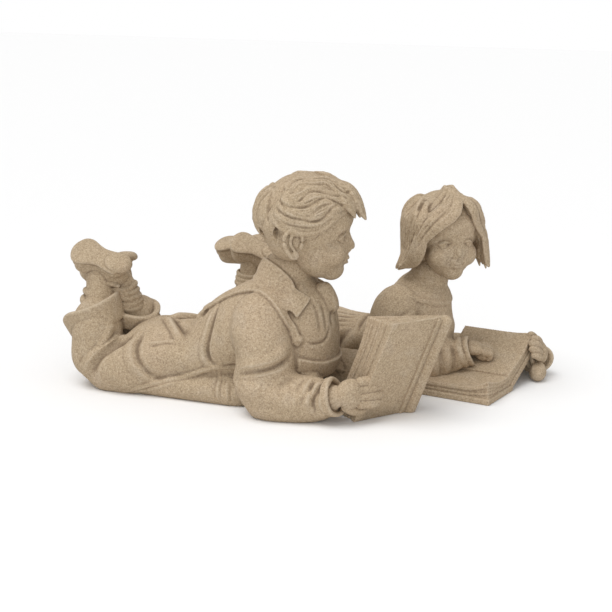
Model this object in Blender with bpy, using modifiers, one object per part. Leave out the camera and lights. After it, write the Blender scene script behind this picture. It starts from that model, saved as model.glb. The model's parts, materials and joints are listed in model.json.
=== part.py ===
"""Garden figurine of a boy and a girl who lie on their fronts side by side and read.

The figures are one casting. Each form is a rounded block shaped from a primitive, the blocks of both
children and their books are fused and smoothed, and the casting is cut flat where it stands.
+X is the way the children face, +Y is the girl's side and +Z is up.
"""

import bpy
import bmesh
import math
import numpy as np
from mathutils import Matrix, Vector
from mathutils.bvhtree import BVHTree

# Driving dimensions, in metres
CASTING_LENGTH = 0.600
BOOK_HEIGHT = 0.146
BOOK_WIDTH = 0.084
BOARD_THICKNESS = 0.0075
PAGES_THICKNESS = 0.017

# The children are posed on a grid of GRID steps to the casting's length, a millimetre each at full size
GRID = 600
STEP = CASTING_LENGTH / GRID
GRID_ORIGIN = (-32.6, 59.6, 0)

# How fine the solid is
BLOCK_SIDES = 20
BLOCK_RINGS = 22
BROAD_VOXEL = 4.0 * STEP
FACE_VOXEL = 1.8 * STEP
FUSE_VOXEL = 2.6 * STEP
FUSED_TRIANGLES = 279000
TRIANGLES = 8700
BROAD_FOLD = 7.5

# Where the children lie on the grid, and how their heads are carried
BOY_AXIS = -30
GIRL_AXIS = 130
BOY_HEAD = dict(centre=(19, 0, 231), height=137, turn=20, nod=4)
GIRL_HEAD = dict(centre=(146, 0, 204), height=118, turn=-47, nod=2)


def grid_place(x, y, z):
    """The frame of something that stands at a grid point and faces +X."""
    ox, oy, oz = GRID_ORIGIN
    return Matrix.Scale(STEP, 4) @ Matrix.Translation((x - ox, y - oy, z - oz))


def head_place(axis, centre, height, turn, nod):
    """The frame of a head: its unit is the head's height, +X is the face and the origin is half way up."""
    x, y, z = centre
    turned = Matrix.Rotation(math.radians(turn), 4, "Z") @ Matrix.Rotation(math.radians(nod), 4, "Y")
    return grid_place(x, axis + y, z) @ turned @ Matrix.Scale(height, 4)


def aimed(place, origin, ahead, above, size=1.0):
    """A frame inside another: its +X points ahead and its +Z points as near to above as it can."""
    forward = Vector(ahead).normalized()
    side = Vector(above).cross(forward).normalized()
    top = forward.cross(side)
    turned = Matrix((forward, side, top)).transposed().to_4x4()
    return place @ Matrix.Translation(origin) @ turned @ Matrix.Scale(size, 4)


def along_line(points, shares):
    """Points at shares of the length of a smooth line through given points, and the line's directions there."""
    knots = np.array(points, float)
    ends = np.vstack([2 * knots[0] - knots[1], knots, 2 * knots[-1] - knots[-2]])
    steps = np.linspace(0, 1, 16, endpoint=False)[:, None]
    runs = []
    for a, b, c, d in zip(ends, ends[1:], ends[2:], ends[3:]):
        bend = 2 * a - 5 * b + 4 * c - d + steps * (3 * (b - c) + d - a)
        runs.append(b + 0.5 * steps * (c - a + steps * bend))
    dense = np.vstack(runs + [knots[-1:]])
    lengths = np.concatenate([[0], np.cumsum(np.linalg.norm(np.diff(dense[:, :3], axis=0), axis=1))])
    where = np.clip(shares, 0, 1) * lengths[-1]
    found = np.stack([np.interp(where, lengths, dense[:, k]) for k in range(dense.shape[1])], axis=1)
    reach = lengths[-1] * 0.01
    ahead = np.stack([np.interp(where + reach, lengths, dense[:, k]) for k in range(3)], axis=1)
    behind = np.stack([np.interp(where - reach, lengths, dense[:, k]) for k in range(3)], axis=1)
    aims = ahead - behind
    return found, aims / np.linalg.norm(aims, axis=1)[:, None], lengths[-1]


def clung(place, skin, points):
    """Points moved to the nearest place on a skin, and the way out of the skin there."""
    back = place.inverted()
    spots, ways = [], []
    for point in points:
        spot, way, _, _ = skin.find_nearest(place @ Vector(point))
        spots.append(back @ spot)
        ways.append((back.to_3x3() @ way).normalized())
    return np.array(spots), np.array(ways)


def limb(place, stations, above=(0, 0, 1), skin=None, lift=0.0, flutes=0, sides=BLOCK_SIDES,
         rings=BLOCK_RINGS):
    """A rounded block along a line, which lies on a skin, or lifted off it, if one is given.

    A station is x, y, z, half width and, if the block is flattened, half height.
    """
    table = np.array([tuple(s) if len(s) == 5 else tuple(s) + (s[3],) for s in stations], float)
    bpy.ops.mesh.primitive_uv_sphere_add(segments=sides, ring_count=rings)
    block = bpy.context.object
    sphere = np.empty(len(block.data.vertices) * 3)
    block.data.vertices.foreach_get("co", sphere)
    sphere = sphere.reshape(-1, 3)
    share = np.arccos(np.clip(sphere[:, 2], -1, 1)) / math.pi
    angle = np.arctan2(sphere[:, 1], sphere[:, 0])
    length = along_line(table, np.zeros(1))[2]
    first = min(table[0, 3:].mean(), length * 0.5) / length
    last = min(table[-1, 3:].mean(), length * 0.5) / length
    cap = 0.2
    start = np.clip(share / cap, 0, 1) * math.pi / 2
    finish = np.clip((1 - share) / cap, 0, 1) * math.pi / 2
    middle = np.clip((share - cap) / (1 - 2 * cap), 0, 1)
    run = first * (1 - np.cos(start)) + middle * (1 - first - last) + last * np.cos(finish)
    fullness = np.sin(start) * np.sin(finish)
    found, aims, _ = along_line(table, run)
    middle_line = found[:, :3]
    outward = np.array(above, float)[None, :]
    if skin:
        middle_line, outward = clung(place, skin, middle_line)
        middle_line = middle_line + outward * lift
    side = np.cross(outward, aims)
    side /= np.linalg.norm(side, axis=1)[:, None]
    top = np.cross(aims, side)
    if flutes:
        fullness = fullness * (1 + 0.13 * np.cos(flutes * angle + 2.5 * run))
    wide = (found[:, 3] * fullness * np.cos(angle))[:, None]
    tall = (found[:, 4] * fullness * np.sin(angle))[:, None]
    block.data.vertices.foreach_set("co", (middle_line + side * wide + top * tall).ravel())
    block.data.transform(place)
    return block


def ball(place, centre, radii, turn=(0, 0, 0)):
    """A rounded block with three half sizes, turned by degrees about X, Y and Z."""
    bpy.ops.mesh.primitive_uv_sphere_add(segments=BLOCK_SIDES, ring_count=BLOCK_RINGS)
    block = bpy.context.object
    turned = Matrix.Identity(4)
    for angle, axis in zip(reversed(turn), "ZYX"):
        turned = turned @ Matrix.Rotation(math.radians(angle), 4, axis)
    block.data.transform(place @ Matrix.Translation(centre) @ turned @ Matrix.Diagonal((*radii, 1)))
    return block


def slab(place, size, cuts, warp):
    """A board with the given size, split into strips both ways, its points moved by warp(across, along, up)."""
    bpy.ops.mesh.primitive_cube_add(size=1)
    block = bpy.context.object
    shape = bmesh.new()
    shape.from_mesh(block.data)
    for axis in (0, 1):
        lines = [e for e in shape.edges if abs((e.verts[0].co - e.verts[1].co)[axis]) > 0.5]
        bmesh.ops.subdivide_edges(shape, edges=lines, cuts=cuts, use_grid_fill=True)
    for point in shape.verts:
        x, y, z = point.co
        point.co = warp(x * size[0], (y + 0.5) * size[1], (z + 0.5) * size[2])
    shape.to_mesh(block.data)
    shape.free()
    block.data.transform(place)
    return block


def ring(place, centre, radii, section, flare, tilt, wave=0.0, square=1.0, corner=None):
    """A band round an upright line: its section is (half thickness, half height), its top leans out by flare.

    A square below 1 gives it a flat face. A corner is (degrees round, reach out, drop).
    """
    bpy.ops.mesh.primitive_torus_add(major_segments=60, minor_segments=20, major_radius=1, minor_radius=0.25)
    block = bpy.context.object
    turned = Matrix.Rotation(math.radians(tilt[0]), 4, "X") @ Matrix.Rotation(math.radians(tilt[1]), 4, "Y")
    for point in block.data.vertices:
        angle = math.atan2(point.co.y, point.co.x)
        inner = (math.hypot(point.co.x, point.co.y) - 1) / 0.25
        level = point.co.z / 0.25
        out = math.copysign(abs(inner) ** square, inner) * section[0]
        up = math.copysign(abs(level) ** square, level) * section[1]
        reach = 1 + (out + flare * up) / (0.5 * (radii[0] + radii[1]))
        if corner:
            pull = max(0.0, math.cos(angle - math.radians(corner[0]))) ** 5
            reach += pull * corner[1] / radii[0]
            up -= pull * corner[2]
        point.co = (radii[0] * reach * math.cos(angle), radii[1] * reach * math.sin(angle),
                    up + wave * math.sin(2 * angle + 0.6))
    block.data.transform(place @ Matrix.Translation(centre) @ turned)
    return block


def band(place, line, wide, thick, skin, lift=0.0, ends=0.0):
    """A flat strip of cloth along a line on a skin, with square edges; ends is how round its far end is."""
    bpy.ops.mesh.primitive_grid_add(x_subdivisions=48, y_subdivisions=8, size=1)
    block = bpy.context.object
    places = np.empty(len(block.data.vertices) * 3)
    block.data.vertices.foreach_get("co", places)
    places = places.reshape(-1, 3) + 0.5
    knots = np.array([tuple(p) + (0.0,) for p in line], float)
    middle, aims, length = along_line(knots, places[:, 0])
    spots, ways = clung(place, skin, middle[:, :3])
    sides = np.cross(ways, aims)
    sides /= np.linalg.norm(sides, axis=1)[:, None]
    full = np.ones(len(places))
    if ends:
        past = np.clip((places[:, 0] - 1) * length / ends + 1, 0, 1)
        full = np.sqrt(np.clip(1 - past ** 2, 0.02, 1))
    spots = spots + sides * ((places[:, 1] - 0.5) * wide * full)[:, None]
    spots, ways = clung(place, skin, spots)
    block.data.vertices.foreach_set("co", (spots + ways * lift).ravel())
    block.data.transform(place)
    return thickened(block, thick * place.to_scale().x)


def flap(place, one_edge, other_edge, thick, skin=None, lift=0.0):
    """A flat piece of cloth between two edge lines, laid on a skin if one is given, with square edges."""
    bpy.ops.mesh.primitive_grid_add(x_subdivisions=36, y_subdivisions=10, size=1)
    block = bpy.context.object
    places = np.empty(len(block.data.vertices) * 3)
    block.data.vertices.foreach_get("co", places)
    places = places.reshape(-1, 3) + 0.5
    edges = []
    for edge in (one_edge, other_edge):
        edges.append(along_line([tuple(p) + (0.0,) for p in edge], places[:, 0])[0][:, :3])
    spots = edges[0] + (edges[1] - edges[0]) * places[:, 1:2]
    if skin:
        spots, ways = clung(place, skin, spots)
        spots = spots + ways * lift
    block.data.vertices.foreach_set("co", spots.ravel())
    block.data.transform(place)
    return thickened(block, thick * place.to_scale().x)


def thickened(block, thick):
    """A sheet given its thickness, half on each side."""
    for name, kind in (("Even", "SMOOTH"), ("Thickness", "SOLIDIFY")):
        step = block.modifiers.new(name, kind)
        if kind == "SMOOTH":
            step.factor, step.iterations = 0.5, 2
        else:
            step.thickness, step.offset = thick, 0
        bpy.ops.object.modifier_apply(modifier=name)
    return block


def skull_side(x, z, lift, side):
    """A point over the side of the skull, by where it shows in the head's profile."""
    room = 1 - ((x + 0.06) / (0.43 * lift)) ** 2 - ((z - 0.09) / (0.40 * lift)) ** 2
    return x, side * 0.36 * lift * math.sqrt(max(room, 0.01)), z


def boy_folds():
    """The folds, seams and gathers of the boy's clothes, as (line, width, depth); ridges are negative."""
    marks = [
        ([(-264, 60, 1), (-201, 64, 14), (-143, 64, 29), (-100, 62, 44), (-57, 60, 52)], 5.5, -2.2),
        ([(-238, 62, -1), (-201, 64, 7), (-150, 64, 20), (-124, 62, 30)], 4.5, -1.4),
        ([(-87, 26, 120), (-95, 50, 95), (-100, 60, 74), (-96, 62, 58), (-84, 60, 49)], 6, 3.4),
        ([(-94, 26, 121), (-103, 50, 95), (-108, 58, 74), (-104, 60, 55), (-90, 60, 43)], 7, -2.4),
        ([(-62, 46, 108), (-66, 58, 84), (-66, 60, 66)], 26, -5),
        ([(-86, 60, 49), (-66, 60, 50), (-38, 60, 52)], 5, 2.6),
        ([(-192, 2, 101), (-176, 22, 100), (-164, 34, 95), (-152, 46, 87), (-146, 52, 79)], 9, -6.0),
        ([(-180, -2, 106), (-166, 18, 104), (-154, 32, 98), (-142, 44, 90)], 9, 3.4),
        ([(-148, 52, 80), (-166, 55, 75), (-190, 57, 69)], 5, -2.2),
        ([(-152, 52, 76), (-168, 55, 70), (-190, 57, 64)], 5, 1.2),
        ([(-150, 10, 104), (-130, 2, 107), (-108, -6, 106)], 14, -5.5),
        ([(-110, 14, 112), (-118, 24, 104), (-124, 36, 92)], 9, 2.4),
        ([(-222, 26, 78), (-240, 42, 62), (-262, 54, 46), (-280, 64, 28), (-272, 68, 10)], 13, -6.5),
        ([(-216, 40, 70), (-236, 52, 52), (-256, 60, 36), (-258, 66, 16)], 10, 4.0),
        ([(-206, 34, 84), (-206, 50, 64), (-199, 60, 46), (-182, 64, 32), (-160, 64, 24)], 8, 3.6),
        ([(-217, 40, 80), (-216, 52, 60), (-208, 60, 42), (-188, 66, 26)], 11, -3.6),
        ([(-250, 58, 38), (-230, 64, 24), (-206, 66, 12)], 12, -2.6),
        ([(-176, 52, 66), (-150, 58, 56), (-122, 58, 52)], 18, -2.4),
        ([(-262, 42, 92), (-268, 50, 62), (-260, 56, 44)], 9, -3.2),
        ([(-290, 72, 70), (-286, 76, 44), (-276, 78, 20)], 12, 1.8),
        ([(6, 64, 80), (-8, 76, 64), (-27, 84, 50)], 8, 4.2),
        ([(14, 66, 92), (-4, 84, 74), (-26, 96, 62)], 12, -3.0),
        ([(-6, 70, 54), (-30, 88, 44), (-38, 96, 30)], 9, 1.6),
        ([(-52, 62, 112), (-36, 82, 104), (-14, 92, 104)], 14, -2.0),
        ([(-60, 58, 88), (-44, 84, 78), (-30, 94, 80)], 12, 1.8),
        ([(-56, 60, 62), (-46, 88, 46), (-30, 102, 34)], 12, -2.2),
        ([(-20, 88, 40), (8, 100, 36), (30, 98, 40)], 14, -2.4),
        ([(-14, 96, 22), (14, 104, 20), (36, 98, 14)], 10, 1.8)]
    for number in range(6):
        x = -88 + 6.5 * number
        lean = 2.5 * math.sin(2.6 * number)
        marks.append(([(x, 62, 44 - 3 * (number % 2)), (x + lean, 64, 26),
                       (x + 3, 62, 4 + 5 * (number % 3))], 4,
                      1.2 + 0.5 * (number % 2)))
    marks += [
        ([(76, 66, 60), (71, 84, 52), (64, 94, 36), (68, 93, 12)], 6, 3.6),
        ([(60, 70, 61), (58, 86, 50), (66, 95, 32), (62, 96, 16)], 6, 2.4),
        ([(70, 68, 61), (65, 88, 50), (57, 97, 32), (58, 98, 18)], 7, -2.2),
        ([(82, 70, 60), (78, 88, 46), (75, 94, 26), (78, 92, 10)], 6, -2.2),
        ([(50, 74, 60), (44, 92, 46), (50, 99, 28)], 8, 2.2),
        ([(52, 70, 62), (50, 90, 50), (44, 100, 34), (38, 102, 20)], 9, -1.8),
        ([(34, 76, 58), (22, 94, 46), (28, 101, 30)], 9, 1.6)]
    for number in range(3):
        y = 8 + 13 * number
        marks.append(([(48 - 2 * number, y, 146), (58, y * 1.1, 124), (60, y * 1.1, 104)], 5, 1.8))
    marks.append(([(34, 46, 94), (46, 40, 90), (56, 24, 94), (60, 14, 112)], 4, 1.8))
    return [(mirrored(line, side), wide, deep) for side in (-1, 1) for line, wide, deep in marks]


def girl_folds():
    """The gathers and folds of the girl's dress, as (line, width, depth); ridges are negative."""
    marks = []
    marks.append(([(150, -28, 96), (163, -6, 86), (160, 22, 74)], 12, -1.6))
    marks.append(([(142, -34, 84), (158, -12, 70), (160, 14, 58)], 10, 1.4))
    marks.append(([(122, -40, 108), (106, -46, 92), (104, -44, 74)], 10, 2.0))
    for number in range(9):
        turn = number - 4
        marks.append(([(34 - 3 * abs(turn), 10 * turn, 92 - 3 * abs(turn)),
                       (-30, 14 * turn, 90 - 4 * abs(turn)),
                       (-84, 19 * turn, 84 - 6 * abs(turn)), (-138, 20 * turn,
                                                              50 - 4 * abs(turn))], 11, -4.0))
        marks.append(([(30, 10 * turn + 5, 90 - 3 * abs(turn)), (-34, 14 * turn + 7, 88 - 4 * abs(turn)),
                       (-86, 19 * turn + 9, 80 - 6 * abs(turn))], 7, 2.6))
    marks.append(([(40, -50, 60), (36, -30, 88), (36, 0, 96), (36, 30, 88), (40, 50, 60)], 6, 3.0))
    for side in (-1, 1):
        for number in range(5):
            x = 16 - 32 * number
            marks.append(([(x + 12, 44 * side, 84), (x + 4, 74 * side, 62), (x - 6, 94 * side, 34),
                           (x - 12, 100 * side, 6)], 13, -3.4))
            marks.append(([(x - 4, 50 * side, 82), (x - 12, 78 * side, 56), (x - 22, 94 * side, 30),
                           (x - 28, 98 * side, 6)], 9, 2.2))
    for number in range(5):
        x = 66 + 11 * number
        marks.append(([(x - 22, -74 + 3 * number, 96 - 3 * number), (x - 30, -92 + 6 * number, 66),
                       (x - 18, -92 + 8 * number, 34)], 7, 2.6))
    marks.append(([(118, -52, 108), (92, -84, 96), (50, -84, 94), (42, -60, 104)], 6, 2.4))
    marks.append(([(30, -70, 42), (60, -98, 46), (96, -84, 44)], 6, 3.0))
    for number in range(6):
        x = 96 + 15 * number
        marks.append(([(x - 8, -56 + 8 * number, 58 - number), (x, -76 + 10 * number, 44),
                       (x + 2, -78 + 10 * number, 14)], 6.5, 2.4))
        marks.append(([(x, -52 + 8 * number, 60 - number), (x + 8, -72 + 10 * number, 44),
                       (x + 10, -72 + 10 * number, 14)], 7, -2.0))
        bend = 7 * math.sin(2.2 * number)
        marks.append(([(116 + 24 * number, 88, 44), (122 + 24 * number + bend, 120, 38),
                       (114 + 24 * number, 132, 14)], 9, 1.7))
        marks.append(([(126 + 24 * number, 84, 42), (136 + 24 * number + bend, 118, 38),
                       (132 + 24 * number, 130, 20)], 11, -1.6))
    return marks


def mirrored(stations, side):
    """Stations with their sideways place multiplied by side."""
    return [(s[0], s[1] * side) + tuple(s[2:]) for s in stations]


def hand(place, side, curl):
    """A child's hand. Its unit is a grid step, +X is where the fingers point and -Z is the palm."""
    limb(place, [(-20, 0, 0, 13, 11), (-4, 0, 1, 18, 11), (14, 0, 0, 19, 9)])
    for number in range(4):
        across = (number - 1.5) * 9.6
        reach = (26, 31, 29, 23)[number]
        bend = math.radians(curl + 4 * number)
        x, z = 14.0, 0.5
        joints = [(6, across * 0.9, 1.0, 6.2)]
        for part, share in enumerate((0.42, 0.33, 0.25)):
            angle = bend * (part + 0.4) * 0.75
            x += reach * share * math.cos(angle)
            z -= reach * share * math.sin(angle)
            joints.append((x, across * (0.98 - 0.05 * part), z, 6.0 - 0.5 * part))
        limb(place, mirrored(joints, side))
    limb(place, mirrored([(-10, -12, -2, 7), (4, -21, -7, 7), (16, -24, -11, 6.4), (26, -22, -14, 5.2)],
                         side))
    if curl > 60:
        ball(place, (14, 0, -9), (15, 17, 12))


def shoe(place, laced):
    """A child's shoe. Its unit is a grid step, +X is the toe, -Z is the sole and the origin is under the instep."""
    sole = [(-36, 0, 0, 14), (-24, 0, 0, 17), (0, 0, 0, 14), (22, -1, 0, 21), (38, -2, 0, 15)]
    limb(place, [(x, y, -17, w, 4.5) for x, y, z, w in sole])
    limb(place, [(x, y, -10, w * 0.9, 9) for x, y, z, w in sole])
    limb(place, [(-27, 0, -27, 15, 17), (-27, 0, -22, 15, 17), (-26, 0, -14, 15, 17)], above=(1, 0, 0))
    limb(place, [(-34, 0, -2, 14, 17), (-20, 0, 2, 16, 19), (2, 0, -2, 15, 17), (22, -1, -3, 19, 14),
                 (36, -2, -5, 14, 11)])
    limb(place, [(-20, 0, 4, 17, 16), (-18, 0, 24, 17, 16)], above=(1, 0, 0))
    if laced:
        for row in range(3):
            x = 0 + 9 * row
            limb(place, [(x, -11, 13 - 2.2 * row, 3), (x + 1, 0, 16.5 - 2.6 * row, 3.2),
                         (x, 11, 13 - 2.2 * row, 3)])
        limb(place, [(-34, -13, 6, 2.6), (-16, -17, 4, 2.6), (4, -15, 2, 2.6)])
        limb(place, [(18, -19, -10, 2.4), (24, -12, 4, 2.6), (25, 0, 10, 2.6), (24, 12, 4, 2.6),
                     (18, 18, -10, 2.4)])


def face(head):
    """A calm child's face of even proportions on a plain skull, in a head's frame."""
    ball(head, (-0.05, 0, 0.09), (0.43, 0.355, 0.40))
    ball(head, (0.11, 0, -0.13), (0.275, 0.275, 0.33))
    ball(head, (0.22, 0, -0.36), (0.125, 0.13, 0.115))
    ball(head, (0.20, 0, 0.14), (0.20, 0.27, 0.20))
    limb(head, [(0.345, 0, 0.02, 0.035), (0.395, 0, -0.06, 0.04), (0.425, 0, -0.135, 0.048, 0.04)],
         above=(1, 0, 0))
    for side in (1, -1):
        ball(head, (0.215, 0.165 * side, -0.18), (0.135, 0.12, 0.14))
        ball(head, (0.395, 0.04 * side, -0.15), (0.032, 0.03, 0.026))
        limb(head, [(0.375, 0.05 * side, 0.055, 0.02), (0.36, 0.13 * side, 0.075, 0.03),
                    (0.29, 0.22 * side, 0.04, 0.02)])
        ball(head, (0.335, 0.13 * side, -0.025), (0.045, 0.062, 0.042))
    limb(head, [(0.33, -0.085, -0.25, 0.014), (0.368, -0.03, -0.238, 0.022), (0.368, 0.03, -0.238, 0.022),
                (0.33, 0.085, -0.25, 0.014)])
    limb(head, [(0.33, -0.07, -0.272, 0.014), (0.36, 0, -0.285, 0.026), (0.33, 0.07, -0.272, 0.014)])


def ear(head, side):
    """An ear with a rolled rim, an inner fold and a lobe."""
    rim = [(0.045, -0.075), (0.060, -0.02), (0.045, 0.045), (-0.005, 0.075), (-0.060, 0.055), (-0.080, 0.0),
           (-0.068, -0.06), (-0.035, -0.115), (0.0, -0.150), (0.028, -0.135)]
    place = head @ Matrix.Translation((-0.085, -0.045 * side, 0.035)) @ Matrix.Scale(1.18, 4)
    limb(place, [(x - 0.02, side * (0.385 - 0.30 * x), z - 0.06, 0.017) for x, z in rim])
    limb(place, [(0.0, 0.372 * side, -0.02, 0.010), (-0.045, 0.388 * side, -0.035, 0.014),
                 (-0.05, 0.385 * side, -0.10, 0.014),
                 (-0.015, 0.372 * side, -0.155, 0.010)])
    ball(place, (-0.025, 0.335 * side, -0.085), (0.070, 0.036, 0.10))
    ball(place, (-0.01, 0.375 * side, -0.185), (0.032, 0.022, 0.032))


def on_hair(turn, height, lift, radii):
    """A point on the hair over a skull: degrees round from the face, degrees up, and how far out."""
    a, b = math.radians(turn), math.radians(height)
    return (-0.06 + radii[0] * lift * math.cos(a) * math.cos(b),
            radii[1] * lift * math.sin(a) * math.cos(b),
            0.09 + radii[2] * lift * math.sin(b))


def lock(head, points, width, flat=0.42, flutes=13):
    """A flat lock of hair through points on the head, full at a third of its length and pointed at its tip."""
    shape = np.interp(np.linspace(0, 1, len(points)), (0, 0.3, 0.72, 1), (0.6, 1, 0.76, 0.16))
    stations = [tuple(p) + (width * share, width * share * flat) for p, share in zip(points, shape)]
    above = Vector(points[len(points) // 2]) - Vector((-0.06, 0, 0.05))
    limb(head, stations, above=above, flutes=flutes, sides=flutes * 5)


def boy_hair(head):
    """Short wavy hair brushed forward from the crown, over the forehead and clear of the ears."""
    before = set(bpy.data.objects)
    radii = (0.43, 0.36, 0.40)
    ball(head, (-0.075, 0, 0.13), (0.40, 0.375, 0.385))
    ball(head, (-0.17, 0, -0.03), (0.24, 0.30, 0.29))
    ball(head, (0.12, 0, 0.30), (0.28, 0.29, 0.19))
    limb(head, [(0.05, 0, 0.36, 0.22, 0.13), (0.22, 0, 0.36, 0.21, 0.11), (0.34, 0, 0.30, 0.19, 0.10),
                (0.40, 0, 0.22, 0.16, 0.07)])
    for side in (-1, 1):
        for row, share in enumerate((0.05, 0.25, 0.47, 0.70, 0.90)):
            lock(head, combed(head, side, share, 0.02), 0.095 + 0.01 * (row % 2), 0.40)
        for row, turn in enumerate((128, 146, 164, 182)):
            swing = 6 * math.sin(2.0 * row + side)
            lock(head, [on_hair(turn * side, 44, 1.03, radii),
                        on_hair((turn + swing) * side, 20, 1.06, radii),
                        on_hair((turn - swing) * side, -8, 1.06, radii), on_hair((turn + 4) * side,
                                                                                 -36 - 4 * (row % 2), 1.0, radii)],
                 0.10, 0.36)
        lock(head, [skull_side(*spot, side) for spot in
                    ((-0.26, 0.14, 1.05), (-0.15, 0.06, 1.08), (-0.03, 0.04, 1.08),
                     (0.09, 0.07, 1.07))], 0.06)
        lock(head, [skull_side(*spot, side) for spot in
                    ((-0.10, 0.05, 1.03), (-0.02, 0.01, 1.05), (0.06, 0.01, 1.03), (0.11, 0.06, 1.0))], 0.045)
    lock(head, [(0.20, -0.05, 0.46), (0.33, -0.05, 0.41), (0.42, -0.06, 0.31), (0.47, -0.07, 0.21),
                (0.52, -0.09, 0.13)], 0.095, 0.5)
    lock(head, [(0.20, 0.05, 0.45), (0.33, 0.06, 0.39), (0.41, 0.06, 0.28), (0.44, 0.03, 0.19),
                (0.46, 0.01, 0.13)], 0.09, 0.5)
    lock(head, [(0.16, -0.15, 0.44), (0.28, -0.17, 0.36), (0.37, -0.17, 0.26), (0.42, -0.14, 0.15)], 0.085,
         0.5)
    fused(before, FACE_VOXEL, 3)


def combed(head, side, share, swing=0.0):
    """A line of brushed hair over one side of a head, from the edge by the ear at 0 to the top at 1."""
    low = ((-0.33, 0.13), (-0.20, 0.07), (-0.06, 0.08), (0.08, 0.10), (0.22, 0.17), (0.37, 0.22))
    high = ((-0.22, 0.44), (-0.12, 0.475), (0.02, 0.49), (0.15, 0.49), (0.27, 0.44), (0.37, 0.35))
    line = []
    for number, (one, other) in enumerate(zip(low, high)):
        x, z = (a + (b - a) * share for a, b in zip(one, other))
        wave = math.sin(1.7 * number + 5 * share) + 0.7 * math.sin(2.9 * number + 13 * share)
        line.append(skull_side(x, z + swing * wave, 1.13, side))
    return line


def girl_hair(head):
    """A chin-length bob parted at the top, swept off the forehead, with pointed strands that flare out."""
    before = set(bpy.data.objects)
    radii = (0.44, 0.395, 0.41)
    ball(head, (-0.075, 0, 0.10), (0.43, 0.40, 0.395))
    ball(head, (-0.15, 0, -0.12), (0.29, 0.36, 0.27))
    for number in range(13):
        turn = 72 + 18 * number
        swing = 6 * math.sin(2.1 * number)
        flare = 0.05 * math.sin(1.3 * number + 0.5) + 0.14 * math.exp(-((turn - 240) / 34) ** 2)
        tip = -42 - 5 * (number % 2) - 2 * math.sin(2.3 * number)
        lock(head, [on_hair(turn - 8, 50, 1.0, radii), on_hair(turn - swing, 16, 1.08, radii),
                    on_hair(turn + swing, -12, 1.11, radii), on_hair(turn, -30, 1.18 + 0.6 * flare, radii),
                    on_hair(turn + swing, tip, 1.40 + flare, radii)], 0.14, 0.34, 19)
    for side, start in ((-1, -0.02), (1, 0.15)):
        for row in range(5):
            back = 0.075 * row
            lock(head, [(0.10 - back, 0.07, 0.462), (0.22 - back, start, 0.445),
                        ((0.34 if side < 0 else 0.30) - back * 1.1, (0.10 if side < 0 else 0.22) * side,
                         0.35 - 0.02 * row),
                        ((0.315 if side < 0 else 0.29) - back, (0.27 + 0.02 * row) * side, 0.21 - 0.03 * row),
                        (0.225 - back, 0.385 * side, 0.02 - 0.05 * row),
                        (0.19 - back, 0.415 * side, -0.16 - 0.05 * row)], 0.125, 0.38, 13)
        for row, (ahead, drop) in enumerate(((0.225, -0.37), (0.14, -0.41), (0.06, -0.38), (-0.03, -0.42))):
            swept = 0.0 if side > 0 else 0.16 - 0.02 * row
            lock(head, [(ahead, 0.37 * side, 0.10), (ahead - 0.2 * swept, 0.40 * side, -0.06),
                        (ahead - 0.5 * swept, 0.42 * side, -0.19),
                        (ahead - 1.1 * swept, 0.44 * side, -0.29),
                        (ahead - 1.9 * swept, (0.47 + 0.4 * swept) * side, drop)], 0.10, 0.36, 15)
    fused(before, FACE_VOXEL, 3)


def boy_form(place):
    """The boy under his clothes and the broad shapes of the cloth: torso, arms, thighs and shins."""
    limb(place, [(-240, 0, 38, 58, 38), (-190, 0, 44, 67, 47), (-132, 0, 46, 61, 47), (-108, 0, 58, 61, 52),
                 (-84, 0, 76, 63, 56), (-48, 0, 104, 63, 56), (-10, 0, 132, 56, 44), (20, 0, 150, 44, 34)])
    limb(place, [(-286, 0, 10, 66, 26), (-160, 0, 14, 70, 30), (-20, 0, 14, 66, 32)])
    limb(place, [(6, 0, 20, 50, 38), (8, 0, 70, 54, 48), (6, 0, 120, 52, 46), (0, 0, 168, 40, 34)],
         above=(1, 0, 0))
    ball(place, (-198, 0, 52), (50, 58, 40))
    limb(place, [(-34, 0, 136, 38), (-12, 0, 170, 33), (4, 0, 200, 31)], above=(1, 0, 0))
    for side in (-1, 1):
        limb(place, mirrored([(-40, 30, 140, 34, 34), (-26, 54, 116, 37, 37), (-14, 66, 70, 38, 38),
                              (-10, 71, 30, 39, 37), (24, 70, 24, 34, 33), (52, 69, 27, 28, 30),
                              (72, 71, 30, 23, 25), (90, 74, 34, 19, 20)], side), above=(1, 0, 0.6))
        limb(place, mirrored([(74, 73, 33, 15), (88, 76, 37, 15), (102, 72, 41, 13)], side))
        limb(place, mirrored([(-150, 30, 44, 36, 46), (-215, 38, 30, 40, 40), (-290, 44, 22, 38, 34)], side))
    limb(place, [(-284, -42, 8, 36, 34), (-280, -42, 44, 34, 34), (-280, -36, 78, 36, 34),
                 (-288, -29, 118, 34, 30)],
         above=(1, 0, 0))
    limb(place, [(-272, 42, 8, 36, 32), (-268, 38, 50, 31, 30), (-254, 26, 80, 32, 30),
                 (-250, 14, 110, 29, 28)],
         above=(1, 0, 0))


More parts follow.
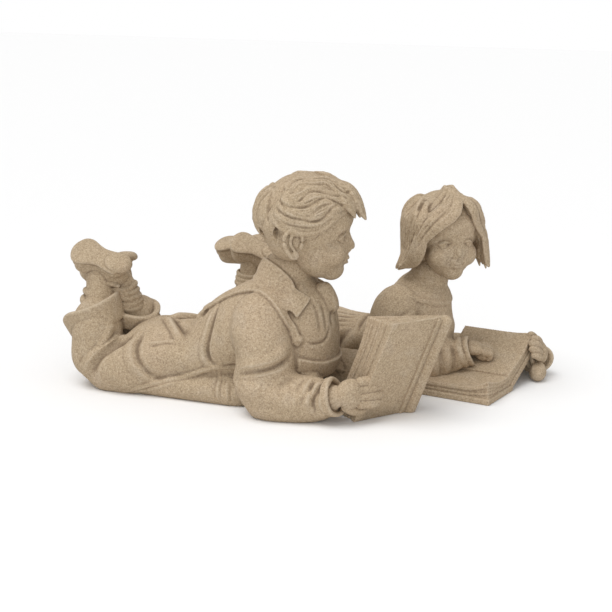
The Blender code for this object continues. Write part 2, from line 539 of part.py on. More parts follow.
def boy_clothes(place, skin):
    """Collar, straps with their buttons, bib pocket and turned-up hems of the dungarees."""
    for side in (-1, 1):
        flap(place, mirrored([(-52, 2, 194), (-34, 20, 192), (-8, 34, 184), (18, 38, 164), (34, 30, 146)],
                             side),
             mirrored([(-60, 2, 166), (-46, 38, 166), (-8, 56, 158), (12, 58, 142), (24, 52, 124)],
                      side), 9, skin, 0.5)
        band(place, mirrored([(-128, 14, 106), (-92, 26, 134), (-50, 40, 160), (-14, 56, 152), (8, 60, 138),
                              (18, 56, 116), (24, 50, 88)], side), 14, 8, skin, 0.0, 7)
        limb(place, mirrored([(16, 50, 97, 5.5, 6), (26, 50, 97, 5.5, 6), (33, 49, 97, 5.5, 6)], side),
             skin=skin)
        ring(place, (82, 73 * side, 35), (23, 21), (3, 6), 0.1, (-22 * side, 74), 1.5, 0.6)
    flap(place, [(26, -54, 74), (50, -34, 66), (60, 0, 64), (50, 34, 66), (26, 54, 74)],
         [(20, -54, 40), (48, -34, 34), (58, 0, 34), (48, 34, 34), (20, 54, 40)], 8, skin, 0.5)
    limb(place, [(30, 0, 160, 14, 12), (50, 0, 140, 12, 11), (54, 0, 124, 9, 7)], skin=skin)
    ring(place, (-285, -30, 93), (34, 33), (5, 18), 0.16, (4, -22), 1.5, 0.45, (186, 8, 12))
    ring(place, (-256, 12, 91), (33, 31), (4.5, 12), 0.24, (5, 10), 2.5, 0.45, (-20, 5, 2))


def boy_feet(place):
    """Ankles crossed above the hems, with soft socks and laced shoes that lie sole up."""
    limb(place, [(-284, -22, 60, 31, 29), (-284, -18, 96, 27, 26), (-287, -12, 122, 22, 21),
                 (-294, -2, 158, 20, 19)],
         above=(1, 0, 0))
    limb(place, [(-252, 16, 60, 27, 26), (-257, 11, 96, 22, 22), (-265, 7, 122, 20, 20),
                 (-280, 10, 146, 20, 19)],
         above=(1, 0, 0))
    ring(place, (-286, -15, 108), (25, 24), (4.5, 5.5), 0, (4, 6), 1.5)
    ring(place, (-288, -11, 119), (22, 21), (4, 4.5), 0, (-6, 4), 1)
    for row in range(5):
        ring(place, (-259 - 2 * row, 9.5 - 0.8 * row, 102 + 6.5 * row), (21.5 - 0.3 * row, 21 - 0.3 * row),
             (3, 3.8), 0,
             (-4 + 5 * math.sin(2 * row), 12 - 3 * row), 2.4)
    shoe(aimed(place, (-289, -6, 155), (-1, 0.0, 0.28), (0.16, 0.50, -0.85), 1.12), True)
    shoe(aimed(place, (-302, 26, 138), (-1, -0.22, -0.10), (-0.10, -0.30, -0.94), 1.05), True)


def girl_form(place):
    """The girl under her dress and the broad shapes of the cloth."""
    limb(place, [(-110, 0, 34, 52, 38), (-58, 0, 44, 62, 45), (-12, 0, 42, 58, 40), (34, 0, 44, 50, 38),
                 (72, 0, 52, 46, 38), (106, 0, 84, 44, 42)])
    limb(place, [(112, 0, 4, 46, 38), (112, 0, 66, 49, 48), (114, 0, 104, 46, 42), (118, 0, 130, 41, 38),
                 (124, 0, 152, 28, 27)], above=(1, 0, 0))
    limb(place, [(-140, -2, 14, 66, 26), (-66, -10, 18, 84, 30), (-6, -12, 16, 82, 30), (60, -8, 14, 64, 28)])
    limb(place, [(110, 0, 112, 30), (122, 0, 136, 27), (134, 0, 172, 26)], above=(1, 0, 0))
    for side in (-1, 1):
        limb(place, mirrored([(-60, 30, 42, 36, 40), (-110, 34, 28, 33, 34), (-156, 36, 20, 30, 28)], side))
    limb(place, [(-146, -36, 6, 29), (-146, -30, 50, 25, 29), (-144, -16, 88, 19, 22), (-141, -6, 124, 17),
                 (-141, -1, 158, 17)], above=(1, 0, 0))
    limb(place, [(-140, 36, 6, 29), (-132, 30, 50, 25, 29), (-124, 19, 86, 19, 22), (-122, 12, 120, 17),
                 (-126, 9, 154, 17)], above=(1, 0, 0))
    limb(place, [(104, -16, 114, 30, 28), (94, -42, 105, 32, 33), (93, -58, 66, 32, 35), (92, -62, 26, 32, 28),
                 (118, -44, 28, 28, 25), (150, -20, 36, 24, 21), (184, 3, 46, 19, 18)], above=(1, 0, 0.5))
    limb(place, [(108, 14, 112, 28, 28), (100, 44, 94, 31, 32), (96, 72, 56, 30, 32), (106, 92, 20, 29, 26),
                 (160, 106, 16, 24, 20), (216, 104, 18, 21, 19), (264, 80, 28, 17, 17)], above=(1, 0, 0.5))


def girl_clothes(place, skin):
    """Neckline and the doubled cuffs."""
    turns = [2 * math.pi * number / 12 for number in range(13)]
    band(place, [(117 + 44 * math.cos(a), 43 * math.sin(a), 123 - 10 * math.cos(a)) for a in turns], 5, 2.6,
         skin, 0.0)
    for row in range(3):
        ring(place, (248 + 8 * row, 86 - 6 * row, 22 + 2 * row), (20 - row, 18 - row), (3, 3.6),
             0.15 * (row - 1), (67, 55), 2.2)
    limb(place, [(262, 66, 8, 13, 11), (266, 52, 14, 14, 12), (262, 44, 20, 9, 8)], above=(1, 0, 0.2))
    ring(place, (174, -3, 43.5), (20, 19), (2.4, 4), 0, (-52, 62), 1.2)
    ring(place, (182, 2, 45), (19, 18), (2.6, 4), 0.1, (-48, 66), 1.2)


def girl_feet(place):
    """Ankles crossed, with rolled socks and strapped shoes that lie sole up."""
    for x, y, z in ((-142, -8, 112), (-123, 13, 104)):
        for row, reach in enumerate((19.5, 18.5, 17.5)):
            ring(place, (x, y + row, z + 7 * row), (reach, reach), (2.6, 3.6), 0, (3 * row, 2), 1)
    shoe(aimed(place, (-164, 16, 148), (-1, 0.04, -0.10), (-0.05, 0.30, -0.94), 1.04), False)
    shoe(aimed(place, (-134, -4, 150), (-0.96, -0.10, 0.30), (-0.28, 0.46, -0.84), 1.04), False)


def board_and_pages(place, width, height, board, pages, hollow, lift, fan=0.0):
    """Half an open book. +X runs along the spine, +Y goes out from it and +Z is the side that is read."""

    def top(x, y):
        share = y / width
        end = max(0.0, (x / height - 0.1) / 0.4)
        return pages + fan * share - hollow * math.sin(math.pi * share) + lift * share ** 2 * end ** 2

    slab(place, (height, width, board), 6, lambda x, y, z: (x, y, z))
    slab(place, (height * 0.94, width * 0.95, 1.0), 7, lambda x, y,
         z: (x, y, board * 0.5 + z * (board * 0.5 + top(x, y))))
    for row in range(3):
        depth = 0.3 + 0.22 * row
        slab(place, (height * 0.955, width * 0.968, 1.0), 7,
             lambda x, y, z, d=depth: (x, y, board + top(x, y) * (d + 0.07 * z)))


def boy_book(place):
    """The boy's book stands half open on its lower edges, with its back leaning away from him."""
    width, height = BOOK_WIDTH / STEP, BOOK_HEIGHT / STEP
    board, pages = BOARD_THICKNESS / STEP, PAGES_THICKNESS / STEP
    up, sunk = Vector((0.36, 0, 0.933)), 5
    halves = ((Vector((-0.545, -0.838, 0.01)), 1, 38), (Vector((-0.90, 0.42, -0.24)), -1, 8))
    for out, face_side, fan in halves:
        inward = Vector((-0.838, 0.545, 0)) if face_side > 0 else Vector((-0.36, -0.93, 0))
        frame = Matrix((up, out, inward)).transposed().to_4x4()
        middle = Vector((151, 14, 0)) + up * (height * 0.5 - sunk)
        board_and_pages(place @ Matrix.Translation(middle) @ frame, width, height, board, pages * 0.5, -2,
                        10, fan)
    limb(place, [(146, 14, -14, 8), (151 + 0.36 * (height - sunk), 14, 0.933 * (height - sunk), 8)],
         above=(1, 0, 0))


def girl_book(place):
    """The girl's book lies open: the near half is flat on the ground and the far half is propped on her arm."""
    width, height = BOOK_WIDTH / STEP * 0.93, BOOK_HEIGHT / STEP * 0.743
    board, pages = BOARD_THICKNESS / STEP, PAGES_THICKNESS / STEP
    middle = place @ Matrix.Translation((195, 0, 0)) @ Matrix.Rotation(math.radians(-7), 4, "Z")
    near = middle @ Matrix.Diagonal((1, -1, 1, 1))
    board_and_pages(near, width, height, board, pages, 3, 16, -4)
    far = middle @ Matrix.Translation((0, 0, 3)) @ Matrix.Rotation(math.radians(26), 4, "X")
    board_and_pages(far, width * 1.2, height, board, pages, 4, 6, -4)
    limb(middle, [(-height * 0.5 + 2, 0, 5, 9, 6), (height * 0.5 - 2, 0, 5, 9, 6)])


def fused(before, voxel, rounds):
    """The blocks made since a set of objects was noted, melted into one skin and smoothed."""
    figure = joined(before)
    melt = figure.modifiers.new("Melt", "REMESH")
    melt.mode = "VOXEL"
    melt.voxel_size = voxel
    soften = figure.modifiers.new("Soften", "SMOOTH")
    soften.factor = 0.5
    soften.iterations = rounds
    for name in ("Melt", "Soften"):
        bpy.ops.object.modifier_apply(modifier=name)
    return figure


def joined(before):
    """The blocks made since a set of objects was noted, as one object of loose shells that all face out."""
    blocks = [o for o in bpy.data.objects if o not in before]
    bpy.ops.object.select_all(action="DESELECT")
    for block in blocks:
        if volume(block) < 0:
            block.data.flip_normals()
        block.select_set(True)
    bpy.context.view_layer.objects.active = blocks[0]
    bpy.ops.object.join()
    return bpy.context.object


def skin_of(piece):
    """A piece's points, outward directions and a tree for finding the nearest place on its skin."""
    mesh = piece.data
    spots = np.empty(len(mesh.vertices) * 3)
    mesh.vertices.foreach_get("co", spots)
    outs = np.empty(len(mesh.vertices) * 3)
    mesh.vertices.foreach_get("normal", outs)
    tree = BVHTree.FromObject(piece, bpy.context.evaluated_depsgraph_get())
    return spots.reshape(-1, 3), outs.reshape(-1, 3), tree


def press_all(piece, place, marks):
    """Draw soft grooves, or ridges where deep is negative, into a piece. A mark is (line, wide, deep)."""
    spots, outs, tree = skin_of(piece)
    size = place.to_scale().x
    pressed, raised = np.zeros(len(spots)), np.zeros(len(spots))
    for line, wide, deep in marks:
        points = np.array([tuple(p)[:3] + (0.0,) for p in line], float)
        smooth = along_line(points, np.linspace(0, 1, 24))[0][:, :3]
        smooth = np.array([tuple(place @ Vector(p)) for p in smooth])
        smooth = np.array([tuple(tree.find_nearest(Vector(p))[0]) for p in smooth])
        for _ in range(3):
            smooth[1:-1] = 0.5 * smooth[1:-1] + 0.25 * (smooth[:-2] + smooth[2:])
        reach = wide * size
        gaps = np.concatenate([[0], np.cumsum(np.linalg.norm(np.diff(smooth, axis=0), axis=1))])
        steps = np.linspace(0, gaps[-1], max(6, int(gaps[-1] / (reach * 0.2)) + 1))
        smooth = np.stack([np.interp(steps, gaps, smooth[:, k]) for k in range(3)], axis=1)
        shares = steps / gaps[-1]
        near = np.flatnonzero(np.all((spots > smooth.min(0) - reach) & (spots < smooth.max(0) + reach),
                                     axis=1))
        if not len(near):
            continue
        fade = np.clip(4 * np.minimum(shares, 1 - shares) + 0.1, 0, 1)
        best = np.zeros(len(near))
        for spot, share in zip(smooth, fade):
            apart = np.sum((spots[near] - spot) ** 2, axis=1) / reach ** 2
            best = np.maximum(best, share * np.clip(1 - apart, 0, 1) ** 2)
        kept = pressed if deep > 0 else raised
        kept[near] = np.maximum(kept[near], abs(deep) * size * best)
    piece.data.vertices.foreach_set("co", (spots + outs * (raised - pressed)[:, None]).ravel())
    piece.data.update()


def casting():
    """Everything cast together, as loose shells in one object."""
    everything = set(bpy.data.objects)
    boy_frame = grid_place(0, BOY_AXIS, 0)
    girl_frame = grid_place(0, GIRL_AXIS, 0)
    for form, clothes, folds, feet, frame in ((boy_form, boy_clothes, boy_folds, boy_feet, boy_frame),
                                              (girl_form, girl_clothes, girl_folds, girl_feet, girl_frame)):
        before = set(bpy.data.objects)
        form(frame)
        clothes(frame, BVHTree.FromObject(fused(before, BROAD_VOXEL, 10),
                                          bpy.context.evaluated_depsgraph_get()))
        press_all(fused(before, FUSE_VOXEL, 2), frame, [mark for mark in folds() if mark[1] >= BROAD_FOLD])
        feet(frame)
    for pose, axis, hair in ((BOY_HEAD, BOY_AXIS, boy_hair), (GIRL_HEAD, GIRL_AXIS, girl_hair)):
        head = head_place(axis, **pose)
        before = set(bpy.data.objects)
        face(head)
        for side in (-1, 1):
            ear(head, side)
        fused(before, FACE_VOXEL, 5)
        hair(head)
    hand(aimed(boy_frame, (105, -69, 41), (0.70, 0.70, -0.03), (0.70, -0.70, 0.10), 1.04), 1, 10)
    hand(aimed(boy_frame, (100, 60, 40), (0.80, -0.50, 0.20), (0.42, 0.90, 0.1)), -1, 10)
    hand(aimed(girl_frame, (190, 10, 48), (0.86, 0.44, -0.02), (-0.02, -0.25, 1), 0.8), -1, 78)
    hand(aimed(girl_frame, (264, 70, 36), (0.10, -0.74, 0.45), (0.95, 0.05, 0.2), 0.85), 1, 30)
    boy_book(boy_frame)
    girl_book(girl_frame)
    return joined(everything)


def volume(block):
    """The signed volume inside a block."""
    shape = bmesh.new()
    shape.from_mesh(block.data)
    found = shape.calc_volume(signed=True)
    shape.free()
    return found


def move_to(thing, collection):
    """Put an object in one collection only."""
    for other in list(thing.users_collection):
        other.objects.unlink(thing)
    collection.objects.link(thing)


def build():
    for old in list(bpy.data.objects):
        bpy.data.objects.remove(old)
    solids = bpy.data.collections.new("Reading children figurine")
    cutters = bpy.data.collections.new("Cutters")
    bpy.context.scene.collection.children.link(solids)
    bpy.context.scene.collection.children.link(cutters)

    figure = casting()
    figure.name = "reading_children"
    figure.data.name = "reading_children"
    move_to(figure, solids)

    bpy.ops.mesh.primitive_cube_add(size=1)
    ground = bpy.context.object
    ground.name = "ground_cut"
    ground.data.transform(Matrix.Translation((0, 0, -0.25)) @ Matrix.Diagonal((1.2, 1.0, 0.5, 1)))
    ground.display_type = "WIRE"
    ground.hide_render = True
    move_to(ground, cutters)

    fuse = figure.modifiers.new("Fuse", "REMESH")
    fuse.mode = "VOXEL"
    fuse.voxel_size = FUSE_VOXEL
    soften = figure.modifiers.new("Soften", "SMOOTH")
    soften.factor = 0.5
    soften.iterations = 2
    thin = figure.modifiers.new("Thin", "DECIMATE")
    thin.ratio = TRIANGLES / FUSED_TRIANGLES
    flat = figure.modifiers.new("Stand flat", "BOOLEAN")
    flat.operation = "DIFFERENCE"
    flat.solver = "EXACT"
    flat.object = ground

    resin = bpy.data.materials.new("Sandstone resin")
    resin.use_nodes = True
    shader = resin.node_tree.nodes["Principled BSDF"]
    shader.inputs["Base Color"].default_value = (0.42, 0.32, 0.22, 1)
    shader.inputs["Roughness"].default_value = 0.85
    figure.data.materials.clear()
    figure.data.materials.append(resin)
    bpy.ops.object.select_all(action="DESELECT")
    figure.select_set(True)
    bpy.context.view_layer.objects.active = figure
    bpy.ops.object.shade_smooth()
    ground.hide_set(True)


build()
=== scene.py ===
"""Looks of the garden figurine: a boy and a girl who lie on their fronts side by side and read.

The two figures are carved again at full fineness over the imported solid, in sandstone-look resin.
+X is the way the children face, +Y is the girl's side and +Z is up.
"""

import bpy
import bmesh
import json
import math
import numpy as np
from mathutils import Matrix, Vector
from mathutils.bvhtree import BVHTree

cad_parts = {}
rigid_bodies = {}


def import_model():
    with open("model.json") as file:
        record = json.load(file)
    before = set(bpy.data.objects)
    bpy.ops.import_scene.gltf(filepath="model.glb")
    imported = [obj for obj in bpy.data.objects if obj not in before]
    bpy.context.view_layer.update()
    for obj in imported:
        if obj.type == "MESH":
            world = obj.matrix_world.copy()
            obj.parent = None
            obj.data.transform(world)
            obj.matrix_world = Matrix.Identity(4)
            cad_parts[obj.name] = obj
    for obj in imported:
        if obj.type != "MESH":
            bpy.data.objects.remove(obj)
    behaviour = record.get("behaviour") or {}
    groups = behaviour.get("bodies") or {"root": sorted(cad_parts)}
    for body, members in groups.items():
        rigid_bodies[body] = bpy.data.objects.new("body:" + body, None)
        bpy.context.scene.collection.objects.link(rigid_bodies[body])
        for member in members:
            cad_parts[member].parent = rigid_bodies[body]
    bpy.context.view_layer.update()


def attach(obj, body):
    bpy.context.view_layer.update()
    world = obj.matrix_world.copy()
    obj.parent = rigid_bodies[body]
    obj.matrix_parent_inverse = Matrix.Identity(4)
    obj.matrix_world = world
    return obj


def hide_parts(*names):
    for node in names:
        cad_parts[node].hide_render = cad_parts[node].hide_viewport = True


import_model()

# Sizes shared with the solid, in metres
CASTING_LENGTH = 0.600
BOOK_HEIGHT = 0.146
BOOK_WIDTH = 0.084
BOARD_THICKNESS = 0.0075
PAGES_THICKNESS = 0.017

# The children are posed on a grid of GRID steps to the casting's length, a millimetre each at full size
GRID = 600
STEP = CASTING_LENGTH / GRID
GRID_ORIGIN = (-32.6, 59.6, 0)

# How fine the carving is
BLOCK_SIDES = 28
BLOCK_RINGS = 30
BROAD_VOXEL = 3.2 * STEP
FACE_VOXEL = 1.4 * STEP
BODY_VOXEL = 1.35 * STEP
HEAD_VOXEL = 1.0 * STEP
FEET_VOXEL = 1.1 * STEP
HANDS_VOXEL = 0.9 * STEP
BOOK_VOXEL = 0.95 * STEP
FULL_TRIANGLES = dict(boy_body=190000, girl_body=180000, boy_head=130000, girl_head=120000, boy_feet=75000,
                      girl_feet=50000, hands=60000, boy_book=75000, girl_book=70000)

# Where the children lie on the grid, and how their heads are carried
BOY_AXIS = -30
GIRL_AXIS = 130
BOY_HEAD = dict(centre=(19, 0, 231), height=137, turn=20, nod=4)
GIRL_HEAD = dict(centre=(146, 0, 204), height=118, turn=-47, nod=2)

# Colours of the sandstone resin and of the floor
STONE = (0.405, 0.308, 0.200, 1)
WARM_STONE = (0.44, 0.33, 0.220, 1)
GREY_STONE = (0.46, 0.385, 0.30, 1)
BROWN_GRIT = (0.16, 0.11, 0.068, 1)
BLACK_GRIT = (0.11, 0.07, 0.04, 1)
PALE_GRIT = (0.66, 0.55, 0.40, 1)
SAND_GRIT = (0.68, 0.57, 0.42, 1)
WHITE_GRIT = (0.70, 0.60, 0.46, 1)
# Dark brown that is painted into the hollows as shade, where creases and recesses would fall dark
HOLLOW_SHADE = (0.115, 0.075, 0.045, 1)
WORN_RIDGE = (0.58, 0.49, 0.37, 1)
PALE_FLOOR = (0.88, 0.88, 0.88, 1)

# Where the photograph was taken from, in degrees, pixels and metres
CAMERA_TURN = 24
CAMERA_RISE = 14
PICTURE_SIDE = 612
FOCAL_PIXELS = 1500
CAMERA_AWAY = 1500 / 760
SENSOR = 36

# Studio light: the sky's strength on the object, and lamps as (name, kind, place, size or spread, power)
SKY_STRENGTH = 0.60
LIGHTS = (("overhead", "SUN", (-0.40, -0.45, 1.7), 0.8, 1.8), ("fill", "AREA", (0.9, -1.7, 0.7), 1.4, 7))


def grid_place(x, y, z):
    """The frame of something that stands at a grid point and faces +X."""
    ox, oy, oz = GRID_ORIGIN
    return Matrix.Scale(STEP, 4) @ Matrix.Translation((x - ox, y - oy, z - oz))


def head_place(axis, centre, height, turn, nod):
    """The frame of a head: its unit is the head's height, +X is the face and the origin is half way up."""
    x, y, z = centre
    turned = Matrix.Rotation(math.radians(turn), 4, "Z") @ Matrix.Rotation(math.radians(nod), 4, "Y")
    return grid_place(x, axis + y, z) @ turned @ Matrix.Scale(height, 4)


def aimed(place, origin, ahead, above, size=1.0):
    """A frame inside another: its +X points ahead and its +Z points as near to above as it can."""
    forward = Vector(ahead).normalized()
    side = Vector(above).cross(forward).normalized()
    top = forward.cross(side)
    turned = Matrix((forward, side, top)).transposed().to_4x4()
    return place @ Matrix.Translation(origin) @ turned @ Matrix.Scale(size, 4)


def points_of(block):
    """The places of a block's points, one row each."""
    places = np.empty(len(block.data.vertices) * 3)
    block.data.vertices.foreach_get("co", places)
    return places.reshape(-1, 3)


def along_line(points, shares):
    """Points at shares of the length of a smooth line through given points.

    Also the line's directions there, and its length.
    """
    knots = np.array(points, float)
    ends = np.vstack([2 * knots[0] - knots[1], knots, 2 * knots[-1] - knots[-2]])
    steps = np.linspace(0, 1, 16, endpoint=False)[:, None]
    runs = []
    for a, b, c, d in zip(ends, ends[1:], ends[2:], ends[3:]):
        bend = 2 * a - 5 * b + 4 * c - d + steps * (3 * (b - c) + d - a)
        runs.append(b + 0.5 * steps * (c - a + steps * bend))
    dense = np.vstack(runs + [knots[-1:]])
    lengths = np.concatenate([[0], np.cumsum(np.linalg.norm(np.diff(dense[:, :3], axis=0), axis=1))])
    where = np.clip(shares, 0, 1) * lengths[-1]
    found = np.stack([np.interp(where, lengths, dense[:, k]) for k in range(dense.shape[1])], axis=1)
    reach = lengths[-1] * 0.01
    ahead = np.stack([np.interp(where + reach, lengths, dense[:, k]) for k in range(3)], axis=1)
    behind = np.stack([np.interp(where - reach, lengths, dense[:, k]) for k in range(3)], axis=1)
    aims = ahead - behind
    return found, aims / np.linalg.norm(aims, axis=1)[:, None], lengths[-1]


def clung(place, skin, points):
    """Points moved to the nearest place on a skin, and the way out of the skin there."""
    back = place.inverted()
    spots, ways = [], []
    for point in points:
        spot, way, _, _ = skin.find_nearest(place @ Vector(point))
        spots.append(back @ spot)
        ways.append((back.to_3x3() @ way).normalized())
    return np.array(spots), np.array(ways)


def limb(place, stations, above=(0, 0, 1), skin=None, flutes=0, sides=BLOCK_SIDES):
    """A rounded block along a line, which is moved onto a skin if one is given.

    A station is x, y, z, half width and, if the block is flattened, half height.
    """
    table = np.array([tuple(s) if len(s) == 5 else tuple(s) + (s[3],) for s in stations], float)
    bpy.ops.mesh.primitive_uv_sphere_add(segments=sides, ring_count=BLOCK_RINGS)
    block = bpy.context.object
    sphere = points_of(block)
    share = np.arccos(np.clip(sphere[:, 2], -1, 1)) / math.pi
    angle = np.arctan2(sphere[:, 1], sphere[:, 0])
    length = along_line(table, np.zeros(1))[2]
    first = min(table[0, 3:].mean(), length * 0.5) / length
    last = min(table[-1, 3:].mean(), length * 0.5) / length
    cap = 0.2
    start = np.clip(share / cap, 0, 1) * math.pi / 2
    finish = np.clip((1 - share) / cap, 0, 1) * math.pi / 2
    middle = np.clip((share - cap) / (1 - 2 * cap), 0, 1)
    run = first * (1 - np.cos(start)) + middle * (1 - first - last) + last * np.cos(finish)
    fullness = np.sin(start) * np.sin(finish)
    found, aims, _ = along_line(table, run)
    middle_line = found[:, :3]
    outward = np.array(above, float)[None, :]
    if skin:
        middle_line, outward = clung(place, skin, middle_line)
    side = np.cross(outward, aims)
    side /= np.linalg.norm(side, axis=1)[:, None]
    top = np.cross(aims, side)
    if flutes:
        fullness = fullness * (1 + 0.13 * np.cos(flutes * angle + 2.5 * run))
    wide = (found[:, 3] * fullness * np.cos(angle))[:, None]
    tall = (found[:, 4] * fullness * np.sin(angle))[:, None]
    block.data.vertices.foreach_set("co", (middle_line + side * wide + top * tall).ravel())
    block.data.transform(place)
    return block


def ball(place, centre, radii):
    """A rounded block with three half sizes."""
    bpy.ops.mesh.primitive_uv_sphere_add(segments=BLOCK_SIDES, ring_count=BLOCK_RINGS)
    block = bpy.context.object
    block.data.transform(place @ Matrix.Translation(centre) @ Matrix.Diagonal((*radii, 1)))
    return block


def slab(place, size, cuts, warp):
    """A board with the given size, split into strips both ways.

    Its points are moved by warp(across, along, up).
    """
    bpy.ops.mesh.primitive_cube_add(size=1)
    block = bpy.context.object
    shape = bmesh.new()
    shape.from_mesh(block.data)
    for axis in (0, 1):
        lines = [e for e in shape.edges if abs((e.verts[0].co - e.verts[1].co)[axis]) > 0.5]
        bmesh.ops.subdivide_edges(shape, edges=lines, cuts=cuts, use_grid_fill=True)
    for point in shape.verts:
        x, y, z = point.co
        point.co = warp(x * size[0], (y + 0.5) * size[1], (z + 0.5) * size[2])
    shape.to_mesh(block.data)
    shape.free()
    block.data.transform(place)
    return block


def ring(place, centre, radii, section, flare, tilt, wave=0.0, square=1.0, corner=None):
    """A band round an upright line: its section is (half thickness, half height), its top leans out by flare.

    A square below 1 gives it a flat face. A corner is (degrees round, reach out, drop).
    """
    bpy.ops.mesh.primitive_torus_add(major_segments=60, minor_segments=20, major_radius=1, minor_radius=0.25)
    block = bpy.context.object
    turned = Matrix.Rotation(math.radians(tilt[0]), 4, "X") @ Matrix.Rotation(math.radians(tilt[1]), 4, "Y")
    for point in block.data.vertices:
        angle = math.atan2(point.co.y, point.co.x)
        inner = (math.hypot(point.co.x, point.co.y) - 1) / 0.25
        level = point.co.z / 0.25
        out = math.copysign(abs(inner) ** square, inner) * section[0]
        up = math.copysign(abs(level) ** square, level) * section[1]
        reach = 1 + (out + flare * up) / (0.5 * (radii[0] + radii[1]))
        if corner:
            pull = max(0.0, math.cos(angle - math.radians(corner[0]))) ** 5
            reach += pull * corner[1] / radii[0]
            up -= pull * corner[2]
        point.co = (radii[0] * reach * math.cos(angle), radii[1] * reach * math.sin(angle),
                    up + wave * math.sin(2 * angle + 0.6))
    block.data.transform(place @ Matrix.Translation(centre) @ turned)
    return block


def band(place, line, wide, thick, skin, ends=0.0):
    """A flat strip of cloth along a line on a skin, with square edges; ends is how round its far end is."""
    bpy.ops.mesh.primitive_grid_add(x_subdivisions=48, y_subdivisions=8, size=1)
    block = bpy.context.object
    places = points_of(block) + 0.5
    knots = np.array([tuple(p) + (0.0,) for p in line], float)
    middle, aims, length = along_line(knots, places[:, 0])
    spots, ways = clung(place, skin, middle[:, :3])
    sides = np.cross(ways, aims)
    sides /= np.linalg.norm(sides, axis=1)[:, None]
    full = np.ones(len(places))
    if ends:
        past = np.clip((places[:, 0] - 1) * length / ends + 1, 0, 1)
        full = np.sqrt(np.clip(1 - past ** 2, 0.02, 1))
    spots = spots + sides * ((places[:, 1] - 0.5) * wide * full)[:, None]
    spots = clung(place, skin, spots)[0]
    block.data.vertices.foreach_set("co", spots.ravel())
    block.data.transform(place)
    return thickened(block, thick * place.to_scale().x)


def flap(place, one_edge, other_edge, thick, skin, lift):
    """A flat piece of cloth between two edge lines, laid on a skin or just off it, with square edges."""
    bpy.ops.mesh.primitive_grid_add(x_subdivisions=36, y_subdivisions=10, size=1)
    block = bpy.context.object
    places = points_of(block) + 0.5
    edges = []
    for edge in (one_edge, other_edge):
        edges.append(along_line([tuple(p) + (0.0,) for p in edge], places[:, 0])[0][:, :3])
    spots = edges[0] + (edges[1] - edges[0]) * places[:, 1:2]
    spots, ways = clung(place, skin, spots)
    block.data.vertices.foreach_set("co", (spots + ways * lift).ravel())
    block.data.transform(place)
    return thickened(block, thick * place.to_scale().x)


def thickened(block, thick):
    """A sheet given its thickness, half on each side."""
    for name, kind in (("Even", "SMOOTH"), ("Thickness", "SOLIDIFY")):
        step = block.modifiers.new(name, kind)
        if kind == "SMOOTH":
            step.factor, step.iterations = 0.5, 2
        else:
            step.thickness, step.offset = thick, 0
        bpy.ops.object.modifier_apply(modifier=name)
    return block


def skull_side(x, z, lift, side):
    """A point over the side of the skull, by where it shows in the head's profile."""
    room = 1 - ((x + 0.06) / (0.43 * lift)) ** 2 - ((z - 0.09) / (0.40 * lift)) ** 2
    return x, side * 0.36 * lift * math.sqrt(max(room, 0.01)), z


